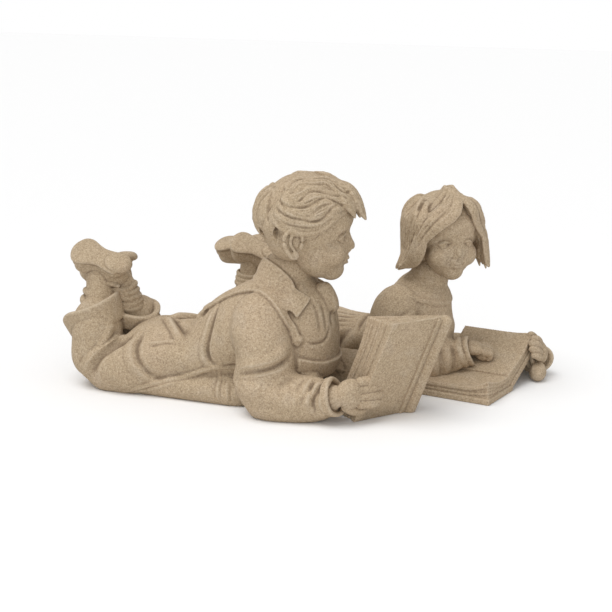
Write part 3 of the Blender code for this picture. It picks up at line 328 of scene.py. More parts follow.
def boy_folds():
    """The folds, seams and gathers of the boy's clothes, as (line, width, depth); ridges are negative."""
    marks = [
        ([(-264, 60, 1), (-201, 64, 14), (-143, 64, 29), (-100, 62, 44), (-57, 60, 52)], 5.5, -2.2),
        ([(-238, 62, -1), (-201, 64, 7), (-150, 64, 20), (-124, 62, 30)], 4.5, -1.4),
        ([(-87, 26, 120), (-95, 50, 95), (-100, 60, 74), (-96, 62, 58), (-84, 60, 49)], 6, 3.4),
        ([(-94, 26, 121), (-103, 50, 95), (-108, 58, 74), (-104, 60, 55), (-90, 60, 43)], 7, -2.4),
        ([(-62, 46, 108), (-66, 58, 84), (-66, 60, 66)], 26, -5),
        ([(-86, 60, 49), (-66, 60, 50), (-38, 60, 52)], 5, 2.6),
        ([(-192, 2, 101), (-176, 22, 100), (-164, 34, 95), (-152, 46, 87), (-146, 52, 79)], 9, -6.0),
        ([(-180, -2, 106), (-166, 18, 104), (-154, 32, 98), (-142, 44, 90)], 9, 3.4),
        ([(-148, 52, 80), (-166, 55, 75), (-190, 57, 69)], 5, -2.2),
        ([(-152, 52, 76), (-168, 55, 70), (-190, 57, 64)], 5, 1.2),
        ([(-150, 10, 104), (-130, 2, 107), (-108, -6, 106)], 14, -5.5),
        ([(-110, 14, 112), (-118, 24, 104), (-124, 36, 92)], 9, 2.4),
        ([(-222, 26, 78), (-240, 42, 62), (-262, 54, 46), (-280, 64, 28), (-272, 68, 10)], 13, -6.5),
        ([(-216, 40, 70), (-236, 52, 52), (-256, 60, 36), (-258, 66, 16)], 10, 4.0),
        ([(-206, 34, 84), (-206, 50, 64), (-199, 60, 46), (-182, 64, 32), (-160, 64, 24)], 8, 3.6),
        ([(-217, 40, 80), (-216, 52, 60), (-208, 60, 42), (-188, 66, 26)], 11, -3.6),
        ([(-250, 58, 38), (-230, 64, 24), (-206, 66, 12)], 12, -2.6),
        ([(-176, 52, 66), (-150, 58, 56), (-122, 58, 52)], 18, -2.4),
        ([(-262, 42, 92), (-268, 50, 62), (-260, 56, 44)], 9, -3.2),
        ([(-290, 72, 70), (-286, 76, 44), (-276, 78, 20)], 12, 1.8),
        ([(6, 64, 80), (-8, 76, 64), (-27, 84, 50)], 8, 4.2),
        ([(14, 66, 92), (-4, 84, 74), (-26, 96, 62)], 12, -3.0),
        ([(-6, 70, 54), (-30, 88, 44), (-38, 96, 30)], 9, 1.6),
        ([(-52, 62, 112), (-36, 82, 104), (-14, 92, 104)], 14, -2.0),
        ([(-60, 58, 88), (-44, 84, 78), (-30, 94, 80)], 12, 1.8),
        ([(-56, 60, 62), (-46, 88, 46), (-30, 102, 34)], 12, -2.2),
        ([(-20, 88, 40), (8, 100, 36), (30, 98, 40)], 14, -2.4),
        ([(-14, 96, 22), (14, 104, 20), (36, 98, 14)], 10, 1.8)]
    for number in range(6):
        x = -88 + 6.5 * number
        lean = 2.5 * math.sin(2.6 * number)
        marks.append(([(x, 62, 44 - 3 * (number % 2)), (x + lean, 64, 26),
                       (x + 3, 62, 4 + 5 * (number % 3))], 4,
                      1.2 + 0.5 * (number % 2)))
    marks += [
        ([(76, 66, 60), (71, 84, 52), (64, 94, 36), (68, 93, 12)], 6, 3.6),
        ([(60, 70, 61), (58, 86, 50), (66, 95, 32), (62, 96, 16)], 6, 2.4),
        ([(70, 68, 61), (65, 88, 50), (57, 97, 32), (58, 98, 18)], 7, -2.2),
        ([(82, 70, 60), (78, 88, 46), (75, 94, 26), (78, 92, 10)], 6, -2.2),
        ([(50, 74, 60), (44, 92, 46), (50, 99, 28)], 8, 2.2),
        ([(52, 70, 62), (50, 90, 50), (44, 100, 34), (38, 102, 20)], 9, -1.8),
        ([(34, 76, 58), (22, 94, 46), (28, 101, 30)], 9, 1.6)]
    for number in range(3):
        y = 8 + 13 * number
        marks.append(([(48 - 2 * number, y, 146), (58, y * 1.1, 124), (60, y * 1.1, 104)], 5, 1.8))
    marks.append(([(34, 46, 94), (46, 40, 90), (56, 24, 94), (60, 14, 112)], 4, 1.8))
    return [(mirrored(line, side), wide, deep) for side in (-1, 1) for line, wide, deep in marks]


def girl_folds():
    """The gathers and folds of the girl's dress, as (line, width, depth); ridges are negative."""
    marks = []
    marks.append(([(150, -28, 96), (163, -6, 86), (160, 22, 74)], 12, -1.6))
    marks.append(([(142, -34, 84), (158, -12, 70), (160, 14, 58)], 10, 1.4))
    marks.append(([(122, -40, 108), (106, -46, 92), (104, -44, 74)], 10, 2.0))
    for number in range(9):
        turn = number - 4
        off = abs(turn)
        marks.append(([(34 - 3 * off, 10 * turn, 92 - 3 * off), (-30, 14 * turn, 90 - 4 * off),
                       (-84, 19 * turn, 84 - 6 * off), (-138, 20 * turn, 50 - 4 * off)], 11, -4.0))
        marks.append(([(30, 10 * turn + 5, 90 - 3 * off), (-34, 14 * turn + 7, 88 - 4 * off),
                       (-86, 19 * turn + 9, 80 - 6 * off)], 7, 2.6))
    marks.append(([(40, -50, 60), (36, -30, 88), (36, 0, 96), (36, 30, 88), (40, 50, 60)], 6, 3.0))
    for side in (-1, 1):
        for number in range(7):
            x = 56 - 28 * number
            marks.append(([(x + 12, 44 * side, 84), (x + 4, 74 * side, 62), (x - 6, 94 * side, 34),
                           (x - 12, 100 * side, 6)], 13, -4.6))
            marks.append(([(x - 4, 50 * side, 82), (x - 12, 78 * side, 56), (x - 22, 94 * side, 30),
                           (x - 28, 98 * side, 6)], 9, 4.0))
    for number in range(5):
        x = 66 + 11 * number
        marks.append(([(x - 22, -74 + 3 * number, 96 - 3 * number), (x - 30, -92 + 6 * number, 66),
                       (x - 18, -92 + 8 * number, 34)], 7, 2.6))
    marks.append(([(118, -52, 108), (92, -84, 96), (50, -84, 94), (42, -60, 104)], 6, 2.4))
    marks.append(([(30, -70, 42), (60, -98, 46), (96, -84, 44)], 6, 3.0))
    for number in range(6):
        x = 96 + 15 * number
        marks.append(([(x - 8, -56 + 8 * number, 58 - number), (x, -76 + 10 * number, 44),
                       (x + 2, -78 + 10 * number, 14)], 6.5, 2.4))
        marks.append(([(x, -52 + 8 * number, 60 - number), (x + 8, -72 + 10 * number, 44),
                       (x + 10, -72 + 10 * number, 14)], 7, -2.0))
        bend = 7 * math.sin(2.2 * number)
        marks.append(([(116 + 24 * number, 88, 44), (122 + 24 * number + bend, 120, 38),
                       (114 + 24 * number, 132, 14)], 9, 1.7))
        marks.append(([(126 + 24 * number, 84, 42), (136 + 24 * number + bend, 118, 38),
                       (132 + 24 * number, 130, 20)], 11, -1.6))
    return marks


def mirrored(stations, side):
    """Stations with their sideways place multiplied by side."""
    return [(s[0], s[1] * side) + tuple(s[2:]) for s in stations]


def hand(place, side, curl):
    """A child's hand. Its unit is a grid step, +X is where the fingers point and -Z is the palm."""
    limb(place, [(-20, 0, 0, 13, 11), (-4, 0, 1, 18, 11), (14, 0, 0, 19, 9)])
    for number in range(4):
        across = (number - 1.5) * 9.6
        reach = (26, 31, 29, 23)[number]
        bend = math.radians(curl + 4 * number)
        x, z = 14.0, 0.5
        joints = [(6, across * 0.9, 1.0, 6.2)]
        for part, share in enumerate((0.42, 0.33, 0.25)):
            angle = bend * (part + 0.4) * 0.75
            x += reach * share * math.cos(angle)
            z -= reach * share * math.sin(angle)
            joints.append((x, across * (0.98 - 0.05 * part), z, 6.0 - 0.5 * part))
        limb(place, mirrored(joints, side))
    limb(place, mirrored([(-10, -12, -2, 7), (4, -21, -7, 7), (16, -24, -11, 6.4), (26, -22, -14, 5.2)],
                         side))
    if curl > 60:
        ball(place, (14, 0, -9), (15, 17, 12))


def shoe(place, laced):
    """A child's shoe. Its unit is a grid step, +X is the toe and -Z is the sole."""
    sole = [(-36, 0, 14), (-24, 0, 17), (0, 0, 14), (22, -1, 21), (38, -2, 15)]
    limb(place, [(x, y, -17, wide, 4.5) for x, y, wide in sole])
    limb(place, [(x, y, -10, wide * 0.9, 9) for x, y, wide in sole])
    limb(place, [(-27, 0, -27, 15, 17), (-27, 0, -22, 15, 17), (-26, 0, -14, 15, 17)], above=(1, 0, 0))
    limb(place, [(-34, 0, -2, 14, 17), (-20, 0, 2, 16, 19), (2, 0, -2, 15, 17), (22, -1, -3, 19, 14),
                 (36, -2, -5, 14, 11)])
    limb(place, [(-20, 0, 4, 17, 16), (-18, 0, 24, 17, 16)], above=(1, 0, 0))
    if laced:
        for row in range(3):
            x = 9 * row
            limb(place, [(x, -11, 13 - 2.2 * row, 3), (x + 1, 0, 16.5 - 2.6 * row, 3.2),
                         (x, 11, 13 - 2.2 * row, 3)])
        limb(place, [(-34, -13, 6, 2.6), (-16, -17, 4, 2.6), (4, -15, 2, 2.6)])
        limb(place, [(18, -19, -10, 2.4), (24, -12, 4, 2.6), (25, 0, 10, 2.6), (24, 12, 4, 2.6),
                     (18, 18, -10, 2.4)])


def fused(before, voxel, rounds):
    """The blocks made since a set of objects was noted, melted into one skin and smoothed."""
    figure = joined(before)
    melt = figure.modifiers.new("Melt", "REMESH")
    melt.mode = "VOXEL"
    melt.voxel_size = voxel
    soften = figure.modifiers.new("Soften", "SMOOTH")
    soften.factor = 0.5
    soften.iterations = rounds
    for modifier in ("Melt", "Soften"):
        bpy.ops.object.modifier_apply(modifier=modifier)
    return figure


def joined(before):
    """The blocks made since a set of objects was noted, as one object of loose shells that all face out."""
    blocks = [o for o in bpy.data.objects if o not in before]
    bpy.ops.object.select_all(action="DESELECT")
    for block in blocks:
        if volume(block) < 0:
            block.data.flip_normals()
        block.select_set(True)
    bpy.context.view_layer.objects.active = blocks[0]
    bpy.ops.object.join()
    return bpy.context.object


def skin_of(piece):
    """A piece's points, outward directions and a tree for finding the nearest place on its skin."""
    outs = np.empty(len(piece.data.vertices) * 3)
    piece.data.vertices.foreach_get("normal", outs)
    tree = BVHTree.FromObject(piece, bpy.context.evaluated_depsgraph_get())
    return points_of(piece), outs.reshape(-1, 3), tree


def press_all(piece, place, marks):
    """Draw soft grooves, or ridges where deep is negative, into a piece. A mark is (line, wide, deep)."""
    spots, outs, tree = skin_of(piece)
    size = place.to_scale().x
    pressed, raised = np.zeros(len(spots)), np.zeros(len(spots))
    for line, wide, deep in marks:
        points = np.array([tuple(p)[:3] + (0.0,) for p in line], float)
        smooth = along_line(points, np.linspace(0, 1, 24))[0][:, :3]
        smooth = np.array([tuple(place @ Vector(p)) for p in smooth])
        smooth = np.array([tuple(tree.find_nearest(Vector(p))[0]) for p in smooth])
        for _ in range(3):
            smooth[1:-1] = 0.5 * smooth[1:-1] + 0.25 * (smooth[:-2] + smooth[2:])
        reach = wide * size
        gaps = np.concatenate([[0], np.cumsum(np.linalg.norm(np.diff(smooth, axis=0), axis=1))])
        steps = np.linspace(0, gaps[-1], max(6, int(gaps[-1] / (reach * 0.2)) + 1))
        smooth = np.stack([np.interp(steps, gaps, smooth[:, k]) for k in range(3)], axis=1)
        shares = steps / gaps[-1]
        near = np.flatnonzero(np.all((spots > smooth.min(0) - reach) & (spots < smooth.max(0) + reach),
                                     axis=1))
        if not len(near):
            continue
        fade = np.clip(4 * np.minimum(shares, 1 - shares) + 0.1, 0, 1)
        best = np.zeros(len(near))
        for spot, share in zip(smooth, fade):
            apart = np.sum((spots[near] - spot) ** 2, axis=1) / reach ** 2
            best = np.maximum(best, share * np.clip(1 - apart, 0, 1) ** 2)
        kept = pressed if deep > 0 else raised
        kept[near] = np.maximum(kept[near], abs(deep) * size * best)
    piece.data.vertices.foreach_set("co", (spots + outs * (raised - pressed)[:, None]).ravel())
    piece.data.update()


def press(piece, place, line, wide, deep):
    """Draw one groove or ridge."""
    press_all(piece, place, [(line, wide, deep)])


def face(head):
    """A calm child's face of even proportions: eyes half way up, nose and lips by thirds below them."""
    before = set(bpy.data.objects)
    ball(head, (-0.05, 0, 0.09), (0.43, 0.355, 0.40))
    ball(head, (0.11, 0, -0.13), (0.275, 0.275, 0.33))
    ball(head, (0.22, 0, -0.36), (0.125, 0.13, 0.115))
    ball(head, (0.20, 0, 0.14), (0.20, 0.27, 0.20))
    limb(head, [(0.33, 0, 0.03, 0.03), (0.36, 0, -0.06, 0.034), (0.392, 0, -0.13, 0.04),
                (0.385, 0, -0.165, 0.042, 0.04)],
         above=(1, 0, 0))
    for side in (1, -1):
        ball(head, (0.215, 0.165 * side, -0.18), (0.135, 0.12, 0.14))
        ball(head, (0.372, 0.036 * side, -0.166), (0.03, 0.027, 0.024))
        limb(head, [(0.345, 0.05 * side, 0.045, 0.02), (0.34, 0.13 * side, 0.068, 0.026),
                    (0.28, 0.22 * side, 0.035, 0.02)])
    limb(head, [(0.325, -0.08, -0.262, 0.012), (0.366, -0.022, -0.250, 0.02), (0.366, 0.022, -0.250, 0.02),
                (0.325, 0.08, -0.262, 0.012)])
    limb(head, [(0.325, -0.066, -0.280, 0.012), (0.360, 0, -0.293, 0.026), (0.325, 0.066, -0.280, 0.012)])
    skull = fused(before, FACE_VOXEL, 5)
    for side in (1, -1):
        press(skull, head, [(0.34, 0.085 * side, -0.03), (0.34, 0.14 * side, -0.03),
                            (0.31, 0.19 * side, -0.035)], 0.075, 0.026)
        press(skull, head, [(0.37, 0.062 * side, -0.17), (0.35, 0.095 * side, -0.24)], 0.03, 0.008)
        press(skull, head, [(0.345, 0.082 * side, -0.266), (0.34, 0.09 * side, -0.275)], 0.03, 0.012)
        ball(head, (0.262, 0.138 * side, -0.036), (0.066, 0.064, 0.064))
        limb(head, [(0.300, 0.072 * side, -0.046, 0.008), (0.326, 0.100 * side, -0.014, 0.011),
                    (0.328, 0.150 * side, -0.006, 0.011), (0.288, 0.208 * side, -0.040, 0.008)])
        limb(head, [(0.300, 0.074 * side, -0.048, 0.006), (0.322, 0.115 * side, -0.068, 0.008),
                    (0.314, 0.165 * side, -0.066, 0.008), (0.286, 0.205 * side, -0.042, 0.006)])
    press(skull, head, [(0.37, -0.078, -0.267), (0.38, -0.03, -0.270), (0.38, 0, -0.272),
                        (0.38, 0.03, -0.270),
                        (0.37, 0.078, -0.267)], 0.018, 0.014)
    press(skull, head, [(0.37, -0.04, -0.335), (0.37, 0.04, -0.335)], 0.04, 0.012)
    press(skull, head, [(0.39, 0, -0.205), (0.385, 0, -0.232)], 0.016, 0.006)


def ear(head, side):
    """An ear with a rolled rim, an inner fold and a lobe."""
    rim = [(0.045, -0.075), (0.060, -0.02), (0.045, 0.045), (-0.005, 0.075), (-0.060, 0.055), (-0.080, 0.0),
           (-0.068, -0.06), (-0.035, -0.115), (0.0, -0.150), (0.028, -0.135)]
    place = head @ Matrix.Translation((-0.085, -0.045 * side, 0.035)) @ Matrix.Scale(1.18, 4)
    limb(place, [(x - 0.02, side * (0.385 - 0.30 * x), z - 0.06, 0.017) for x, z in rim])
    limb(place, [(0.0, 0.372 * side, -0.02, 0.010), (-0.045, 0.388 * side, -0.035, 0.014),
                 (-0.05, 0.385 * side, -0.10, 0.014),
                 (-0.015, 0.372 * side, -0.155, 0.010)])
    ball(place, (-0.025, 0.335 * side, -0.085), (0.070, 0.036, 0.10))
    ball(place, (-0.01, 0.375 * side, -0.185), (0.032, 0.022, 0.032))


def over_hair(radii, *spots):
    """Points over the hair, each from degrees round from the face, degrees up and how far out."""
    line = []
    for turn, height, lift in spots:
        a, b = math.radians(turn), math.radians(height)
        line.append((-0.06 + radii[0] * lift * math.cos(a) * math.cos(b),
                     radii[1] * lift * math.sin(a) * math.cos(b),
                     0.09 + radii[2] * lift * math.sin(b)))
    return line


def lock(head, points, width, flat=0.42, flutes=13):
    """A flat lock of hair through points on the head, full at a third of its length and pointed."""
    shape = np.interp(np.linspace(0, 1, len(points)), (0, 0.3, 0.72, 1), (0.6, 1, 0.76, 0.16))
    stations = [tuple(p) + (width * share, width * share * flat) for p, share in zip(points, shape)]
    above = Vector(points[len(points) // 2]) - Vector((-0.06, 0, 0.05))
    limb(head, stations, above=above, flutes=flutes, sides=flutes * 5)


def boy_hair(head):
    """Short wavy hair brushed forward from the crown, over the forehead and clear of the ears."""
    before = set(bpy.data.objects)
    radii = (0.43, 0.36, 0.40)
    ball(head, (-0.075, 0, 0.13), (0.40, 0.375, 0.385))
    ball(head, (-0.17, 0, -0.03), (0.255, 0.325, 0.29))
    ball(head, (0.12, 0, 0.30), (0.28, 0.29, 0.19))
    limb(head, [(0.05, 0, 0.36, 0.22, 0.13), (0.22, 0, 0.36, 0.21, 0.11), (0.34, 0, 0.30, 0.19, 0.10),
                (0.40, 0, 0.22, 0.16, 0.07)])
    for side in (-1, 1):
        for row, share in enumerate((0.05, 0.25, 0.47, 0.70, 0.90)):
            lock(head, combed(side, share, 0.02), 0.095 + 0.01 * (row % 2), 0.40)
        for row, turn in enumerate((128, 146, 164, 182)):
            swing = 6 * math.sin(2.0 * row + side)
            lock(head, over_hair(radii, (turn * side, 44, 1.03), ((turn + swing) * side, 20, 1.06),
                                 ((turn - swing) * side, -8, 1.06),
                                 ((turn + 4) * side, -36 - 4 * (row % 2), 1.0)), 0.10, 0.36)
        ball(head, (-0.23, 0.25 * side, 0.05), (0.075, 0.082, 0.11))
        ball(head, (-0.33, 0.19 * side, 0.05), (0.08, 0.08, 0.10))
        for width, spots in ((0.06, ((-0.26, 0.14, 1.05), (-0.15, 0.06, 1.08), (-0.03, 0.04, 1.08),
                                     (0.09, 0.07, 1.07))),
                             (0.045, ((-0.10, 0.05, 1.03), (-0.02, 0.01, 1.05), (0.06, 0.01, 1.03),
                                      (0.11, 0.06, 1.0)))):
            lock(head, [skull_side(*spot, side) for spot in spots], width)
    lock(head, [(0.20, -0.05, 0.46), (0.33, -0.05, 0.41), (0.42, -0.06, 0.31), (0.47, -0.07, 0.21),
                (0.52, -0.09, 0.13)], 0.095, 0.5)
    lock(head, [(0.20, 0.05, 0.45), (0.33, 0.06, 0.39), (0.41, 0.06, 0.28), (0.44, 0.03, 0.19),
                (0.46, 0.01, 0.13)], 0.09, 0.5)
    lock(head, [(0.16, -0.15, 0.44), (0.28, -0.17, 0.36), (0.37, -0.17, 0.26), (0.42, -0.14, 0.15)], 0.085,
         0.5)
    fused(before, FACE_VOXEL, 3)


def combed(side, share, swing):
    """A line of brushed hair over one side of a head, from the edge by the ear at 0 to the top at 1."""
    low = ((-0.33, 0.13), (-0.20, 0.07), (-0.06, 0.08), (0.08, 0.10), (0.22, 0.17), (0.37, 0.22))
    high = ((-0.22, 0.44), (-0.12, 0.475), (0.02, 0.49), (0.15, 0.49), (0.27, 0.44), (0.37, 0.35))
    line = []
    for number, (one, other) in enumerate(zip(low, high)):
        x, z = (a + (b - a) * share for a, b in zip(one, other))
        wave = math.sin(1.7 * number + 5 * share) + 0.7 * math.sin(2.9 * number + 13 * share)
        line.append(skull_side(x, z + swing * wave, 1.13, side))
    return line


def boy_strands():
    """The waves and fine strands of the boy's hair, as (line, width, depth); ridges are negative."""
    radii = (0.45, 0.38, 0.42)
    marks = []
    for side in (-1, 1):
        for number in range(7):
            share = (number + 0.5) / 7
            marks.append((combed(side, share, 0.042), 0.032, 0.013 + 0.006 * math.sin(2.3 * number)))
            marks.append((combed(side, share + 0.07, 0.042), 0.05, -0.011))
        for number in range(30):
            marks.append((combed(side, number / 29.5, 0.040), 0.017, 0.009))
        for number in range(6):
            turn = (114 + 13 * number) * side
            swing = 10 * side * math.cos(2.7 * number)
            line = over_hair(radii, (turn + 8 * side, 58, 1), (turn + swing, 34, 1), (turn - swing, 8, 1),
                             (turn + swing, -16, 1), (turn, -38, 1))
            marks.append((line, 0.034, 0.013))
            for shift in (-0.034, 0.034):
                marks.append(([(x + shift * math.sin(math.radians(turn)),
                                y - shift * math.cos(math.radians(turn)), z)
                               for x, y, z in line], 0.015, 0.005))
    for y in (-0.13, -0.10, -0.075, -0.045, -0.015, 0.015, 0.045, 0.075):
        marks.append(([(0.20, y, 0.50), (0.34, y, 0.44), (0.45, y, 0.32), (0.52, y * 0.9, 0.19),
                       (0.54, y * 0.8, 0.12)],
                      0.016, 0.006))
    return marks


def girl_strands():
    """The fine strands of the girl's hair, as (line, width, depth); ridges are negative."""
    radii = (0.46, 0.42, 0.43)
    marks = []
    for number in range(34):
        turn = 66 + 6.8 * number
        swing = 4 * math.sin(1.9 * number)
        wide, deep = (0.032, 0.014) if number % 4 == 0 else (0.018, 0.0085)
        marks.append((over_hair(radii, (turn - 8, 62, 1), (turn - swing, 26, 1.03), (turn + swing, -8, 1.06),
                                (turn, -30, 1.2), (turn + swing, -46, 1.40)), wide, deep))
    for side, start in ((-1, -0.02), (1, 0.15)):
        for row in range(15):
            back = 0.024 * row
            wide, deep = (0.032, 0.014) if row % 4 == 2 else (0.018, 0.0085)
            marks.append(([(0.12 - back, 0.07, 0.54), (0.25 - back, start, 0.53),
                           (0.39 - back * 1.1, (0.10 if side < 0 else 0.24) * side, 0.41 - 0.006 * row),
                           (0.36 - back, (0.28 + 0.006 * row) * side, 0.22 - 0.009 * row),
                           (0.27 - back, 0.41 * side, 0.02 - 0.016 * row),
                           (0.22 - back, 0.45 * side, -0.14 - 0.016 * row)], wide, deep))
    return marks


def girl_hair(head):
    """A chin-length bob parted at the top, swept off the forehead, with pointed strands that flare out."""
    before = set(bpy.data.objects)
    radii = (0.44, 0.395, 0.41)
    ball(head, (-0.075, 0, 0.10), (0.43, 0.40, 0.395))
    ball(head, (-0.15, 0, -0.12), (0.29, 0.36, 0.27))
    for number in range(13):
        turn = 72 + 18 * number
        swing = 6 * math.sin(2.1 * number)
        flare = 0.05 * math.sin(1.3 * number + 0.5) + 0.14 * math.exp(-((turn - 240) / 34) ** 2)
        tip = -42 - 5 * (number % 2) - 2 * math.sin(2.3 * number)
        lock(head, over_hair(radii, (turn - 8, 50, 1.0), (turn - swing, 16, 1.08), (turn + swing, -12, 1.11),
                             (turn, -30, 1.18 + 0.6 * flare), (turn + swing, tip, 1.40 + flare)),
             0.14, 0.34, 19)
    for side, start in ((-1, -0.02), (1, 0.15)):
        for row in range(5):
            back = 0.075 * row
            lock(head, [(0.10 - back, 0.07, 0.446), (0.22 - back, start, 0.440),
                        ((0.34 if side < 0 else 0.30) - back * 1.1, (0.10 if side < 0 else 0.22) * side,
                         0.35 - 0.02 * row),
                        ((0.315 if side < 0 else 0.29) - back, (0.27 + 0.02 * row) * side, 0.21 - 0.03 * row),
                        (0.225 - back, 0.385 * side, 0.02 - 0.05 * row),
                        (0.19 - back, 0.415 * side, -0.16 - 0.05 * row)], 0.125, 0.38, 13)
        for row, (ahead, drop) in enumerate(((0.225, -0.37), (0.14, -0.41), (0.06, -0.38), (-0.03, -0.42))):
            swept = 0.0 if side > 0 else 0.16 - 0.02 * row
            lock(head, [(ahead, 0.37 * side, 0.10), (ahead - 0.2 * swept, 0.40 * side, -0.06),
                        (ahead - 0.5 * swept, 0.42 * side, -0.19),
                        (ahead - 1.1 * swept, 0.44 * side, -0.29),
                        (ahead - 1.9 * swept, (0.47 + 0.4 * swept) * side, drop)], 0.10, 0.36, 15)
    fused(before, FACE_VOXEL, 3)


def boy_form(place):
    """The boy under his clothes and the broad shapes of the cloth: torso, arms, thighs and shins."""
    limb(place, [(-240, 0, 38, 58, 38), (-190, 0, 44, 67, 47), (-132, 0, 46, 61, 47), (-108, 0, 58, 61, 52),
                 (-84, 0, 76, 63, 56), (-48, 0, 104, 63, 56), (-10, 0, 132, 56, 44), (20, 0, 150, 44, 34)])
    limb(place, [(-286, 0, 10, 66, 26), (-160, 0, 14, 70, 30), (-20, 0, 14, 66, 32)])
    limb(place, [(6, 0, 20, 50, 38), (8, 0, 70, 54, 48), (6, 0, 120, 52, 46), (0, 0, 168, 40, 34)],
         above=(1, 0, 0))
    ball(place, (-198, 0, 52), (50, 58, 40))
    limb(place, [(-34, 0, 136, 38), (-12, 0, 170, 33), (4, 0, 200, 31)], above=(1, 0, 0))
    for side in (-1, 1):
        limb(place, mirrored([(-40, 30, 140, 34, 34), (-26, 54, 116, 37, 37), (-14, 66, 70, 38, 38),
                              (-10, 71, 30, 39, 37), (24, 70, 24, 34, 33), (52, 69, 27, 28, 30),
                              (72, 71, 30, 23, 25), (90, 74, 34, 19, 20)], side), above=(1, 0, 0.6))
        limb(place, mirrored([(74, 73, 33, 15), (88, 76, 37, 15), (102, 72, 41, 13)], side))
        limb(place, mirrored([(-150, 30, 44, 36, 46), (-215, 38, 30, 40, 40), (-290, 44, 22, 38, 34)], side))
    limb(place, [(-284, -42, 8, 36, 34), (-280, -42, 44, 34, 34), (-280, -36, 78, 36, 34),
                 (-288, -29, 118, 34, 30)],
         above=(1, 0, 0))
    limb(place, [(-272, 42, 8, 36, 32), (-268, 38, 50, 31, 30), (-254, 26, 80, 32, 30),
                 (-250, 14, 110, 29, 28)],
         above=(1, 0, 0))


def boy_clothes(place, skin):
    """Collar, straps with their buttons, bib pocket and turned-up hems of the dungarees."""
    for side in (-1, 1):
        collar_stand = [(-52, 2, 194), (-34, 20, 192), (-8, 34, 184), (18, 38, 164), (34, 30, 146)]
        collar_edge = [(-60, 2, 166), (-46, 38, 166), (-8, 56, 158), (12, 58, 142), (24, 52, 124)]
        flap(place, mirrored(collar_stand, side), mirrored(collar_edge, side), 9, skin, 0.5)
        band(place, mirrored([(-128, 14, 106), (-92, 26, 134), (-50, 40, 160), (-14, 56, 152), (8, 60, 138),
                              (18, 56, 116), (24, 50, 88)], side), 14, 8, skin, 7)
        limb(place, mirrored([(16, 50, 97, 5.5, 6), (26, 50, 97, 5.5, 6), (33, 49, 97, 5.5, 6)], side),
             skin=skin)
        ring(place, (82, 73 * side, 35), (23, 21), (3, 6), 0.1, (-22 * side, 74), 1.5, 0.6)
    flap(place, [(26, -54, 74), (50, -34, 66), (60, 0, 64), (50, 34, 66), (26, 54, 74)],
         [(20, -54, 40), (48, -34, 34), (58, 0, 34), (48, 34, 34), (20, 54, 40)], 8, skin, 0.5)
    limb(place, [(30, 0, 160, 14, 12), (50, 0, 140, 12, 11), (54, 0, 124, 9, 7)], skin=skin)
    ring(place, (-285, -30, 93), (34, 33), (5, 18), 0.16, (4, -22), 1.5, 0.45, (186, 8, 12))
    ring(place, (-256, 12, 91), (33, 31), (4.5, 12), 0.24, (5, 10), 2.5, 0.45, (-20, 5, 2))


def boy_feet(place):
    """Ankles crossed above the hems, with soft socks and laced shoes that lie sole up."""
    limb(place, [(-284, -22, 60, 31, 29), (-284, -18, 96, 27, 26), (-287, -12, 122, 22, 21),
                 (-294, -2, 158, 20, 19)],
         above=(1, 0, 0))
    limb(place, [(-252, 16, 60, 27, 26), (-257, 11, 96, 22, 22), (-265, 7, 122, 20, 20),
                 (-280, 10, 146, 20, 19)],
         above=(1, 0, 0))
    ring(place, (-286, -15, 108), (25, 24), (4.5, 5.5), 0, (4, 6), 1.5)
    ring(place, (-288, -11, 119), (22, 21), (4, 4.5), 0, (-6, 4), 1)
    for row in range(5):
        ring(place, (-259 - 2 * row, 9.5 - 0.8 * row, 102 + 6.5 * row), (21.5 - 0.3 * row, 21 - 0.3 * row),
             (3, 3.8), 0,
             (-4 + 5 * math.sin(2 * row), 12 - 3 * row), 2.4)
    shoe(aimed(place, (-289, -6, 155), (-1, 0.0, 0.28), (0.16, 0.50, -0.85), 1.12), True)
    shoe(aimed(place, (-302, 26, 138), (-1, -0.22, -0.10), (-0.10, -0.30, -0.94), 1.05), True)


def girl_form(place):
    """The girl under her dress and the broad shapes of the cloth."""
    limb(place, [(-110, 0, 34, 52, 38), (-58, 0, 44, 62, 45), (-12, 0, 42, 58, 40), (34, 0, 44, 50, 38),
                 (72, 0, 52, 46, 38), (106, 0, 84, 44, 42)])
    limb(place, [(112, 0, 4, 46, 38), (112, 0, 66, 49, 48), (114, 0, 104, 46, 42), (118, 0, 130, 41, 38),
                 (124, 0, 152, 28, 27)], above=(1, 0, 0))
    limb(place, [(-140, -2, 14, 66, 26), (-66, -10, 18, 84, 30), (-6, -12, 16, 82, 30), (60, -8, 14, 64, 28)])
    limb(place, [(110, 0, 112, 30), (122, 0, 136, 27), (134, 0, 172, 26)], above=(1, 0, 0))
    for side in (-1, 1):
        limb(place, mirrored([(-60, 30, 42, 36, 40), (-110, 34, 28, 33, 34), (-156, 36, 20, 30, 28)], side))
    limb(place, [(-146, -36, 6, 29), (-146, -30, 50, 25, 29), (-144, -16, 88, 19, 22), (-141, -6, 124, 17),
                 (-141, -1, 158, 17)], above=(1, 0, 0))
    limb(place, [(-140, 36, 6, 29), (-132, 30, 50, 25, 29), (-124, 19, 86, 19, 22), (-122, 12, 120, 17),
                 (-126, 9, 154, 17)], above=(1, 0, 0))
    limb(place, [(104, -16, 114, 30, 28), (94, -42, 105, 32, 33), (93, -58, 66, 32, 35),
                 (92, -62, 26, 32, 28),
                 (118, -44, 28, 28, 25), (150, -20, 36, 24, 21), (184, 3, 46, 19, 18)], above=(1, 0, 0.5))
    limb(place, [(108, 14, 112, 28, 28), (100, 44, 94, 31, 32), (96, 72, 56, 30, 32), (106, 92, 20, 29, 26),
                 (160, 106, 16, 24, 20), (216, 104, 18, 21, 19), (264, 80, 28, 17, 17)], above=(1, 0, 0.5))


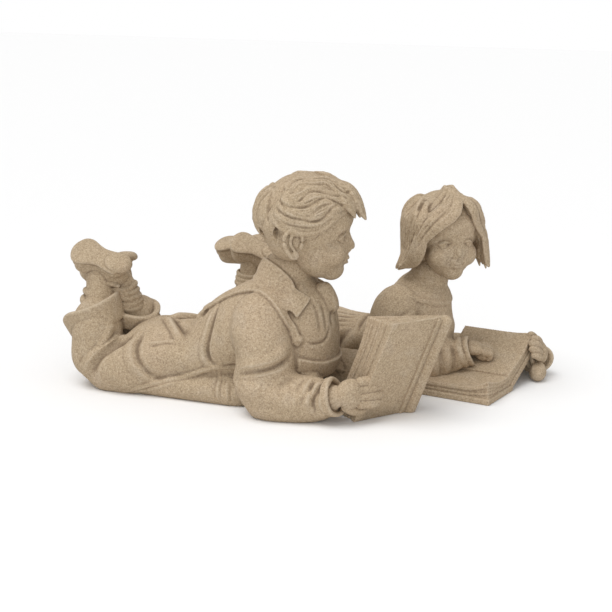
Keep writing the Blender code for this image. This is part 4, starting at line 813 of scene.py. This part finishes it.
def girl_clothes(place, skin):
    """Neckline and the doubled cuffs."""
    turns = [2 * math.pi * number / 12 for number in range(13)]
    band(place, [(117 + 44 * math.cos(a), 43 * math.sin(a), 123 - 10 * math.cos(a)) for a in turns], 5, 2.6,
         skin)
    for row in range(3):
        ring(place, (248 + 8 * row, 86 - 6 * row, 22 + 2 * row), (20 - row, 18 - row), (3, 3.6),
             0.15 * (row - 1), (67, 55), 2.2)
    limb(place, [(262, 66, 8, 13, 11), (266, 52, 14, 14, 12), (262, 44, 20, 9, 8)], above=(1, 0, 0.2))
    ring(place, (174, -3, 43.5), (20, 19), (2.4, 4), 0, (-52, 62), 1.2)
    ring(place, (182, 2, 45), (19, 18), (2.6, 4), 0.1, (-48, 66), 1.2)


def girl_feet(place):
    """Ankles crossed, with rolled socks and plain unlaced shoes that lie sole up."""
    for x, y, z in ((-142, -8, 112), (-123, 13, 104)):
        for row, reach in enumerate((19.5, 18.5, 17.5)):
            ring(place, (x, y + row, z + 7 * row), (reach, reach), (2.6, 3.6), 0, (3 * row, 2), 1)
    shoe(aimed(place, (-164, 16, 148), (-1, 0.04, -0.10), (-0.05, 0.30, -0.94), 1.04), False)
    shoe(aimed(place, (-134, -4, 150), (-0.96, -0.10, 0.30), (-0.28, 0.46, -0.84), 1.04), False)


def board_and_pages(place, width, height, board, pages, hollow, lift, fan):
    """Half an open book. +X runs along the spine, +Y goes out from it and +Z is the side that is read."""

    def top(x, y):
        share = y / width
        end = max(0.0, (x / height - 0.1) / 0.4)
        return pages + fan * share - hollow * math.sin(math.pi * share) + lift * share ** 2 * end ** 2

    slab(place, (height, width, board), 8, lambda x, y, z: (x, y, z))
    slab(place, (height * 0.94, width * 0.955, 1.0), 12,
         lambda x, y, z: (x, y, board * 0.5 + z * (board * 0.4 + top(x, y))))
    leaves = max(4, int((pages + max(fan, 0)) / 2.9))
    for leaf in range(leaves):
        low, out = (leaf + 0.1) / leaves, 0.968 + 0.010 * math.sin(2.4 * leaf)
        slab(place, (height * (out - 0.008), width * out, 1.0), 12,
             lambda x, y, z, d=low: (x, y, board + top(x, y) * (d + 0.55 * z / leaves)))


def boy_book(place):
    """The boy's book stands half open on its lower edges, with its back leaning away from him."""
    width, height = BOOK_WIDTH / STEP, BOOK_HEIGHT / STEP
    board, pages = BOARD_THICKNESS / STEP, PAGES_THICKNESS / STEP
    up, sunk = Vector((0.36, 0, 0.933)), 5
    halves = ((Vector((-0.545, -0.838, 0.01)), 1, 38), (Vector((-0.90, 0.42, -0.24)), -1, 8))
    for out, face_side, fan in halves:
        inward = Vector((-0.838, 0.545, 0)) if face_side > 0 else Vector((-0.36, -0.93, 0))
        frame = Matrix((up, out, inward)).transposed().to_4x4()
        middle = Vector((151, 14, 0)) + up * (height * 0.5 - sunk)
        board_and_pages(place @ Matrix.Translation(middle) @ frame, width, height, board, pages * 0.5, -2,
                        10, fan)
    limb(place, [(146, 14, -14, 8), (151 + 0.36 * (height - sunk), 14, 0.933 * (height - sunk), 8)],
         above=(1, 0, 0))


def girl_book(place):
    """The girl's book lies open, its near half flat on the ground and its far half propped up."""
    width, height = BOOK_WIDTH / STEP * 0.93, BOOK_HEIGHT / STEP * 0.743
    board, pages = BOARD_THICKNESS / STEP, PAGES_THICKNESS / STEP
    middle = place @ Matrix.Translation((195, 0, 0)) @ Matrix.Rotation(math.radians(-7), 4, "Z")
    near = middle @ Matrix.Diagonal((1, -1, 1, 1))
    board_and_pages(near, width, height, board, pages, 3, 16, -4)
    far = middle @ Matrix.Translation((0, 0, 3)) @ Matrix.Rotation(math.radians(26), 4, "X")
    board_and_pages(far, width * 1.2, height, board, pages, 4, 6, -4)
    limb(middle, [(-height * 0.5 + 2, 0, 5, 9, 6), (height * 0.5 - 2, 0, 5, 9, 6)])


def volume(block):
    """The signed volume inside a block."""
    shape = bmesh.new()
    shape.from_mesh(block.data)
    found = shape.calc_volume(signed=True)
    shape.free()
    return found


def carved(before, name, voxel, rounds):
    """The blocks made since a set of objects was noted, as one carved piece, cut flat where it stands."""
    piece = fused(before, voxel, rounds)
    if points_of(piece)[:, 2].min() < 0:
        bpy.ops.object.mode_set(mode="EDIT")
        bpy.ops.mesh.select_all(action="SELECT")
        bpy.ops.mesh.bisect(plane_co=(0, 0, 0.00005), plane_no=(0, 0, 1), use_fill=True, clear_inner=True)
        bpy.ops.object.mode_set(mode="OBJECT")
    piece.name = name
    piece.data.name = name
    bpy.ops.object.shade_smooth()
    return piece


def hollows(piece, rounds=(3, 14)):
    """Keep on each point how hollow the skin is there, fine and broad, for painted shade in the hollows and
    for wear on the ridges.
    """
    mesh = piece.data
    spots, outs, _ = skin_of(piece)
    lines = np.empty(len(mesh.edges) * 2, int)
    mesh.edges.foreach_get("vertices", lines)
    one, two = lines.reshape(-1, 2).T
    count = len(spots)
    valence = np.maximum(np.bincount(one, minlength=count) + np.bincount(two, minlength=count), 1)

    def evened(values):
        total = np.bincount(one, values[two], count) + np.bincount(two, values[one], count)
        return total / valence

    broad = spots.copy()
    found = []
    for number in range(max(rounds)):
        broad = np.stack([evened(broad[:, k]) for k in range(3)], axis=1) * 0.7 + broad * 0.3
        if number + 1 in rounds:
            found.append(np.sum((broad - spots) * outs, axis=1))
    for name, values, full in (("fine_hollow", found[0], 0.30 * STEP),
                               ("broad_hollow", found[1], 1.1 * STEP)):
        for _ in range(2):
            values = evened(values) * 0.5 + values * 0.5
        layer = mesh.attributes.new(name, "FLOAT", "POINT")
        layer.data.foreach_set("value", np.clip(0.5 + 0.5 * values / full, 0, 1))


def thinned(piece, triangles):
    """Merge the least telling faces of a piece until it has the given number of triangles."""
    bpy.context.view_layer.objects.active = piece
    thin = piece.modifiers.new("Thin", "DECIMATE")
    thin.ratio = triangles / sum(len(face.vertices) - 2 for face in piece.data.polygons)
    bpy.ops.object.modifier_apply(modifier="Thin")


class Shade:
    """A shader socket that takes sums and products."""

    def __init__(self, tree, socket):
        self.tree = tree
        self.socket = socket

    def math(self, operation, *others):
        node = self.tree.nodes.new("ShaderNodeMath")
        node.operation = operation
        for slot, value in zip(node.inputs, (self,) + others):
            join(self.tree, slot, value)
        return Shade(self.tree, node.outputs[0])

    def __add__(self, other):
        return self.math("ADD", other)

    def __sub__(self, other):
        return self.math("SUBTRACT", other)

    def __rsub__(self, other):
        node = self.tree.nodes.new("ShaderNodeMath")
        node.operation = "SUBTRACT"
        join(self.tree, node.inputs[0], other)
        join(self.tree, node.inputs[1], self)
        return Shade(self.tree, node.outputs[0])

    def __mul__(self, other):
        return self.math("MULTIPLY", other)

    __radd__ = __add__
    __rmul__ = __mul__

    def ramp(self, low, high):
        """0 below low, 1 above high and even between."""
        node = self.tree.nodes.new("ShaderNodeMapRange")
        node.clamp = True
        join(self.tree, node.inputs["Value"], self)
        node.inputs["From Min"].default_value = low
        node.inputs["From Max"].default_value = high
        return Shade(self.tree, node.outputs["Result"])


def join(tree, slot, value):
    """Put a number, a colour or another socket into a socket."""
    if isinstance(value, Shade):
        tree.links.new(value.socket, slot)
    else:
        slot.default_value = value


def made(tree, kind, settings, **values):
    """A node of a kind with its settings and the values or links of its sockets."""
    node = tree.nodes.new(kind)
    for name, value in settings.items():
        setattr(node, name, value)
    for name, value in values.items():
        join(tree, node.inputs[name.replace("_", " ")], value)
    return node


def tinted(tree, under, over, share):
    """One colour over another by a share."""
    node = tree.nodes.new("ShaderNodeMix")
    node.data_type = "RGBA"
    join(tree, node.inputs["Factor"], share)
    for slot, value in ((node.inputs[6], under), (node.inputs[7], over)):
        join(tree, slot, value)
    return Shade(tree, node.outputs[2])


def sandstone(name):
    """Cast resin with the look of sandstone: fine light and dark grit, soft clouding, painted shade in the
    hollows.
    """
    stone = bpy.data.materials.new(name)
    stone.use_nodes = True
    tree = stone.node_tree
    shader = tree.nodes["Principled BSDF"]
    spot = Shade(tree, tree.nodes.new("ShaderNodeTexCoord").outputs["Object"])

    def noise(scale, detail, rough=0.5, warp=0.0):
        node = made(tree, "ShaderNodeTexNoise", {}, Vector=spot, Scale=scale, Detail=detail, Roughness=rough,
                    Distortion=warp)
        return Shade(tree, node.outputs["Fac"])

    def kept(layer):
        return Shade(tree, made(tree, "ShaderNodeAttribute", {"attribute_name": layer}).outputs["Fac"])

    clouds = noise(11.0, 3.0, 0.55, 0.6)
    patches = noise(38.0, 3.0, 0.6)
    mottle = noise(300.0, 2.0, 0.65)
    grains = noise(560.0, 2.0, 0.7)
    crumbs = noise(1150.0, 1.5, 0.6)
    fine, broad = kept("fine_hollow"), kept("broad_hollow")
    colour = STONE
    for tint, share in ((WARM_STONE, clouds.ramp(0.42, 0.66) * 0.75),
                        (GREY_STONE, patches.ramp(0.52, 0.74) * 0.35),
                        (BROWN_GRIT, mottle.ramp(0.50, 0.70) * 0.30),
                        (PALE_GRIT, (1.0 - mottle).ramp(0.52, 0.72) * 0.26),
                        (SAND_GRIT, grains.ramp(0.54, 0.66) * 0.42),
                        (BLACK_GRIT, (1.0 - grains).ramp(0.55, 0.66) * 0.46),
                        (WHITE_GRIT, crumbs.ramp(0.58, 0.68) * 0.35),
                        # painted shade: the stone darkens in broad and fine hollows, where shade falls
                        (HOLLOW_SHADE, broad.ramp(0.53, 0.95) * 0.55),
                        (HOLLOW_SHADE, fine.ramp(0.55, 0.95) * 0.50),
                        (WORN_RIDGE, (1.0 - fine).ramp(0.60, 0.95) * 0.40)):
        colour = tinted(tree, colour, tint, share)
    tree.links.new(colour.socket, shader.inputs["Base Color"])
    rough = grains * 0.16 + fine * 0.10 + 0.74
    tree.links.new(rough.socket, shader.inputs["Roughness"])
    shader.inputs["Specular IOR Level"].default_value = 0.28
    relief = grains * 0.55 + crumbs * 0.30 + patches * 0.9
    bump = made(tree, "ShaderNodeBump", {}, Height=relief, Strength=0.42, Distance=0.0011)
    tree.links.new(bump.outputs["Normal"], shader.inputs["Normal"])
    return stone


def studio():
    """A plain pale floor, a soft overhead light and the camera where the photograph was taken from."""
    middle = grid_place(0, 0, 120).translation
    turn, rise = math.radians(CAMERA_TURN), math.radians(CAMERA_RISE)
    back = Vector((math.sin(turn) * math.cos(rise), -math.cos(turn) * math.cos(rise), math.sin(rise)))
    lens = bpy.data.cameras.new("Camera")
    lens.sensor_width = SENSOR
    lens.lens = FOCAL_PIXELS * SENSOR / PICTURE_SIDE
    lens.clip_start = 0.05
    camera = bpy.data.objects.new("Camera", lens)
    bpy.context.scene.collection.objects.link(camera)
    camera.location = middle + back * CAMERA_AWAY
    camera.rotation_euler = back.to_track_quat("Z", "Y").to_euler()
    bpy.context.scene.camera = camera

    bpy.ops.mesh.primitive_plane_add(size=1)
    floor = bpy.context.object
    floor.name = "floor"
    floor.data.transform(Matrix.Translation((0, 0, -0.0005)) @ Matrix.Scale(12, 4))
    plain = bpy.data.materials.new("Pale floor")
    plain.use_nodes = True
    plain.node_tree.nodes["Principled BSDF"].inputs["Base Color"].default_value = PALE_FLOOR
    plain.node_tree.nodes["Principled BSDF"].inputs["Roughness"].default_value = 0.9
    floor.data.materials.append(plain)

    sky = bpy.data.worlds.new("Studio")
    sky.use_nodes = True
    glow = sky.node_tree.nodes["Background"]
    glow.inputs["Color"].default_value = (1, 1, 1, 1)
    seen = Shade(sky.node_tree, made(sky.node_tree, "ShaderNodeLightPath", {}).outputs["Is Camera Ray"])
    join(sky.node_tree, glow.inputs["Strength"], seen * (1 - SKY_STRENGTH) + SKY_STRENGTH)
    bpy.context.scene.world = sky
    for name, kind, place, size, power in LIGHTS:
        lamp = bpy.data.lights.new(name, kind)
        if kind == "SUN":
            lamp.angle = size
        else:
            lamp.size = size
        lamp.energy = power
        light = bpy.data.objects.new(name, lamp)
        bpy.context.scene.collection.objects.link(light)
        light.location = place
        light.rotation_euler = (Vector(place) - Vector((0, 0, 0.1))).to_track_quat("Z", "Y").to_euler()


bpy.context.scene.view_settings.view_transform = "Standard"

for leftover in list(bpy.context.selected_objects):
    leftover.select_set(False)

stone = sandstone("Sandstone resin")
boy_frame = grid_place(0, BOY_AXIS, 0)
girl_frame = grid_place(0, GIRL_AXIS, 0)
pieces = []

for who, frame_of, form, clothes, folds in (("boy", boy_frame, boy_form, boy_clothes, boy_folds),
                                            ("girl", girl_frame, girl_form, girl_clothes, girl_folds)):
    before = set(bpy.data.objects)
    form(frame_of)
    body = fused(before, BROAD_VOXEL, 12)
    clothes(frame_of, BVHTree.FromObject(body, bpy.context.evaluated_depsgraph_get()))
    piece = carved(before, who + "_body", BODY_VOXEL, 2)
    press_all(piece, frame_of, folds())
    pieces.append(piece)

for who, pose, axis, hair, strands in (("boy", BOY_HEAD, BOY_AXIS, boy_hair, boy_strands),
                                       ("girl", GIRL_HEAD, GIRL_AXIS, girl_hair, girl_strands)):
    head = head_place(axis, **pose)
    before = set(bpy.data.objects)
    face(head)
    for side in (-1, 1):
        ear(head, side)
    hair(head)
    piece = carved(before, who + "_head", HEAD_VOXEL, 1)
    press_all(piece, head, strands())
    pieces.append(piece)

for who, frame_of, feet in (("boy", boy_frame, boy_feet), ("girl", girl_frame, girl_feet)):
    before = set(bpy.data.objects)
    feet(frame_of)
    pieces.append(carved(before, who + "_feet", FEET_VOXEL, 1))

before = set(bpy.data.objects)
hand(aimed(boy_frame, (105, -69, 41), (0.70, 0.70, -0.03), (0.70, -0.70, 0.10), 1.04), 1, 10)
hand(aimed(boy_frame, (100, 60, 40), (0.80, -0.50, 0.20), (0.42, 0.90, 0.1)), -1, 10)
hand(aimed(girl_frame, (190, 10, 48), (0.86, 0.44, -0.02), (-0.02, -0.25, 1), 0.8), -1, 78)
hand(aimed(girl_frame, (264, 70, 36), (0.10, -0.74, 0.45), (0.95, 0.05, 0.2), 0.85), 1, 30)
pieces.append(carved(before, "hands", HANDS_VOXEL, 1))

for name, book, frame_of in (("boy_book", boy_book, boy_frame), ("girl_book", girl_book, girl_frame)):
    before = set(bpy.data.objects)
    book(frame_of)
    pieces.append(carved(before, name, BOOK_VOXEL, 1))

for piece in pieces:
    hollows(piece)
    thinned(piece, FULL_TRIANGLES[piece.name])
    piece.data.materials.clear()
    piece.data.materials.append(stone)
    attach(piece, "root")
    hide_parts("reading_children")
    print(piece.name, len(piece.data.polygons), "faces")

studio()
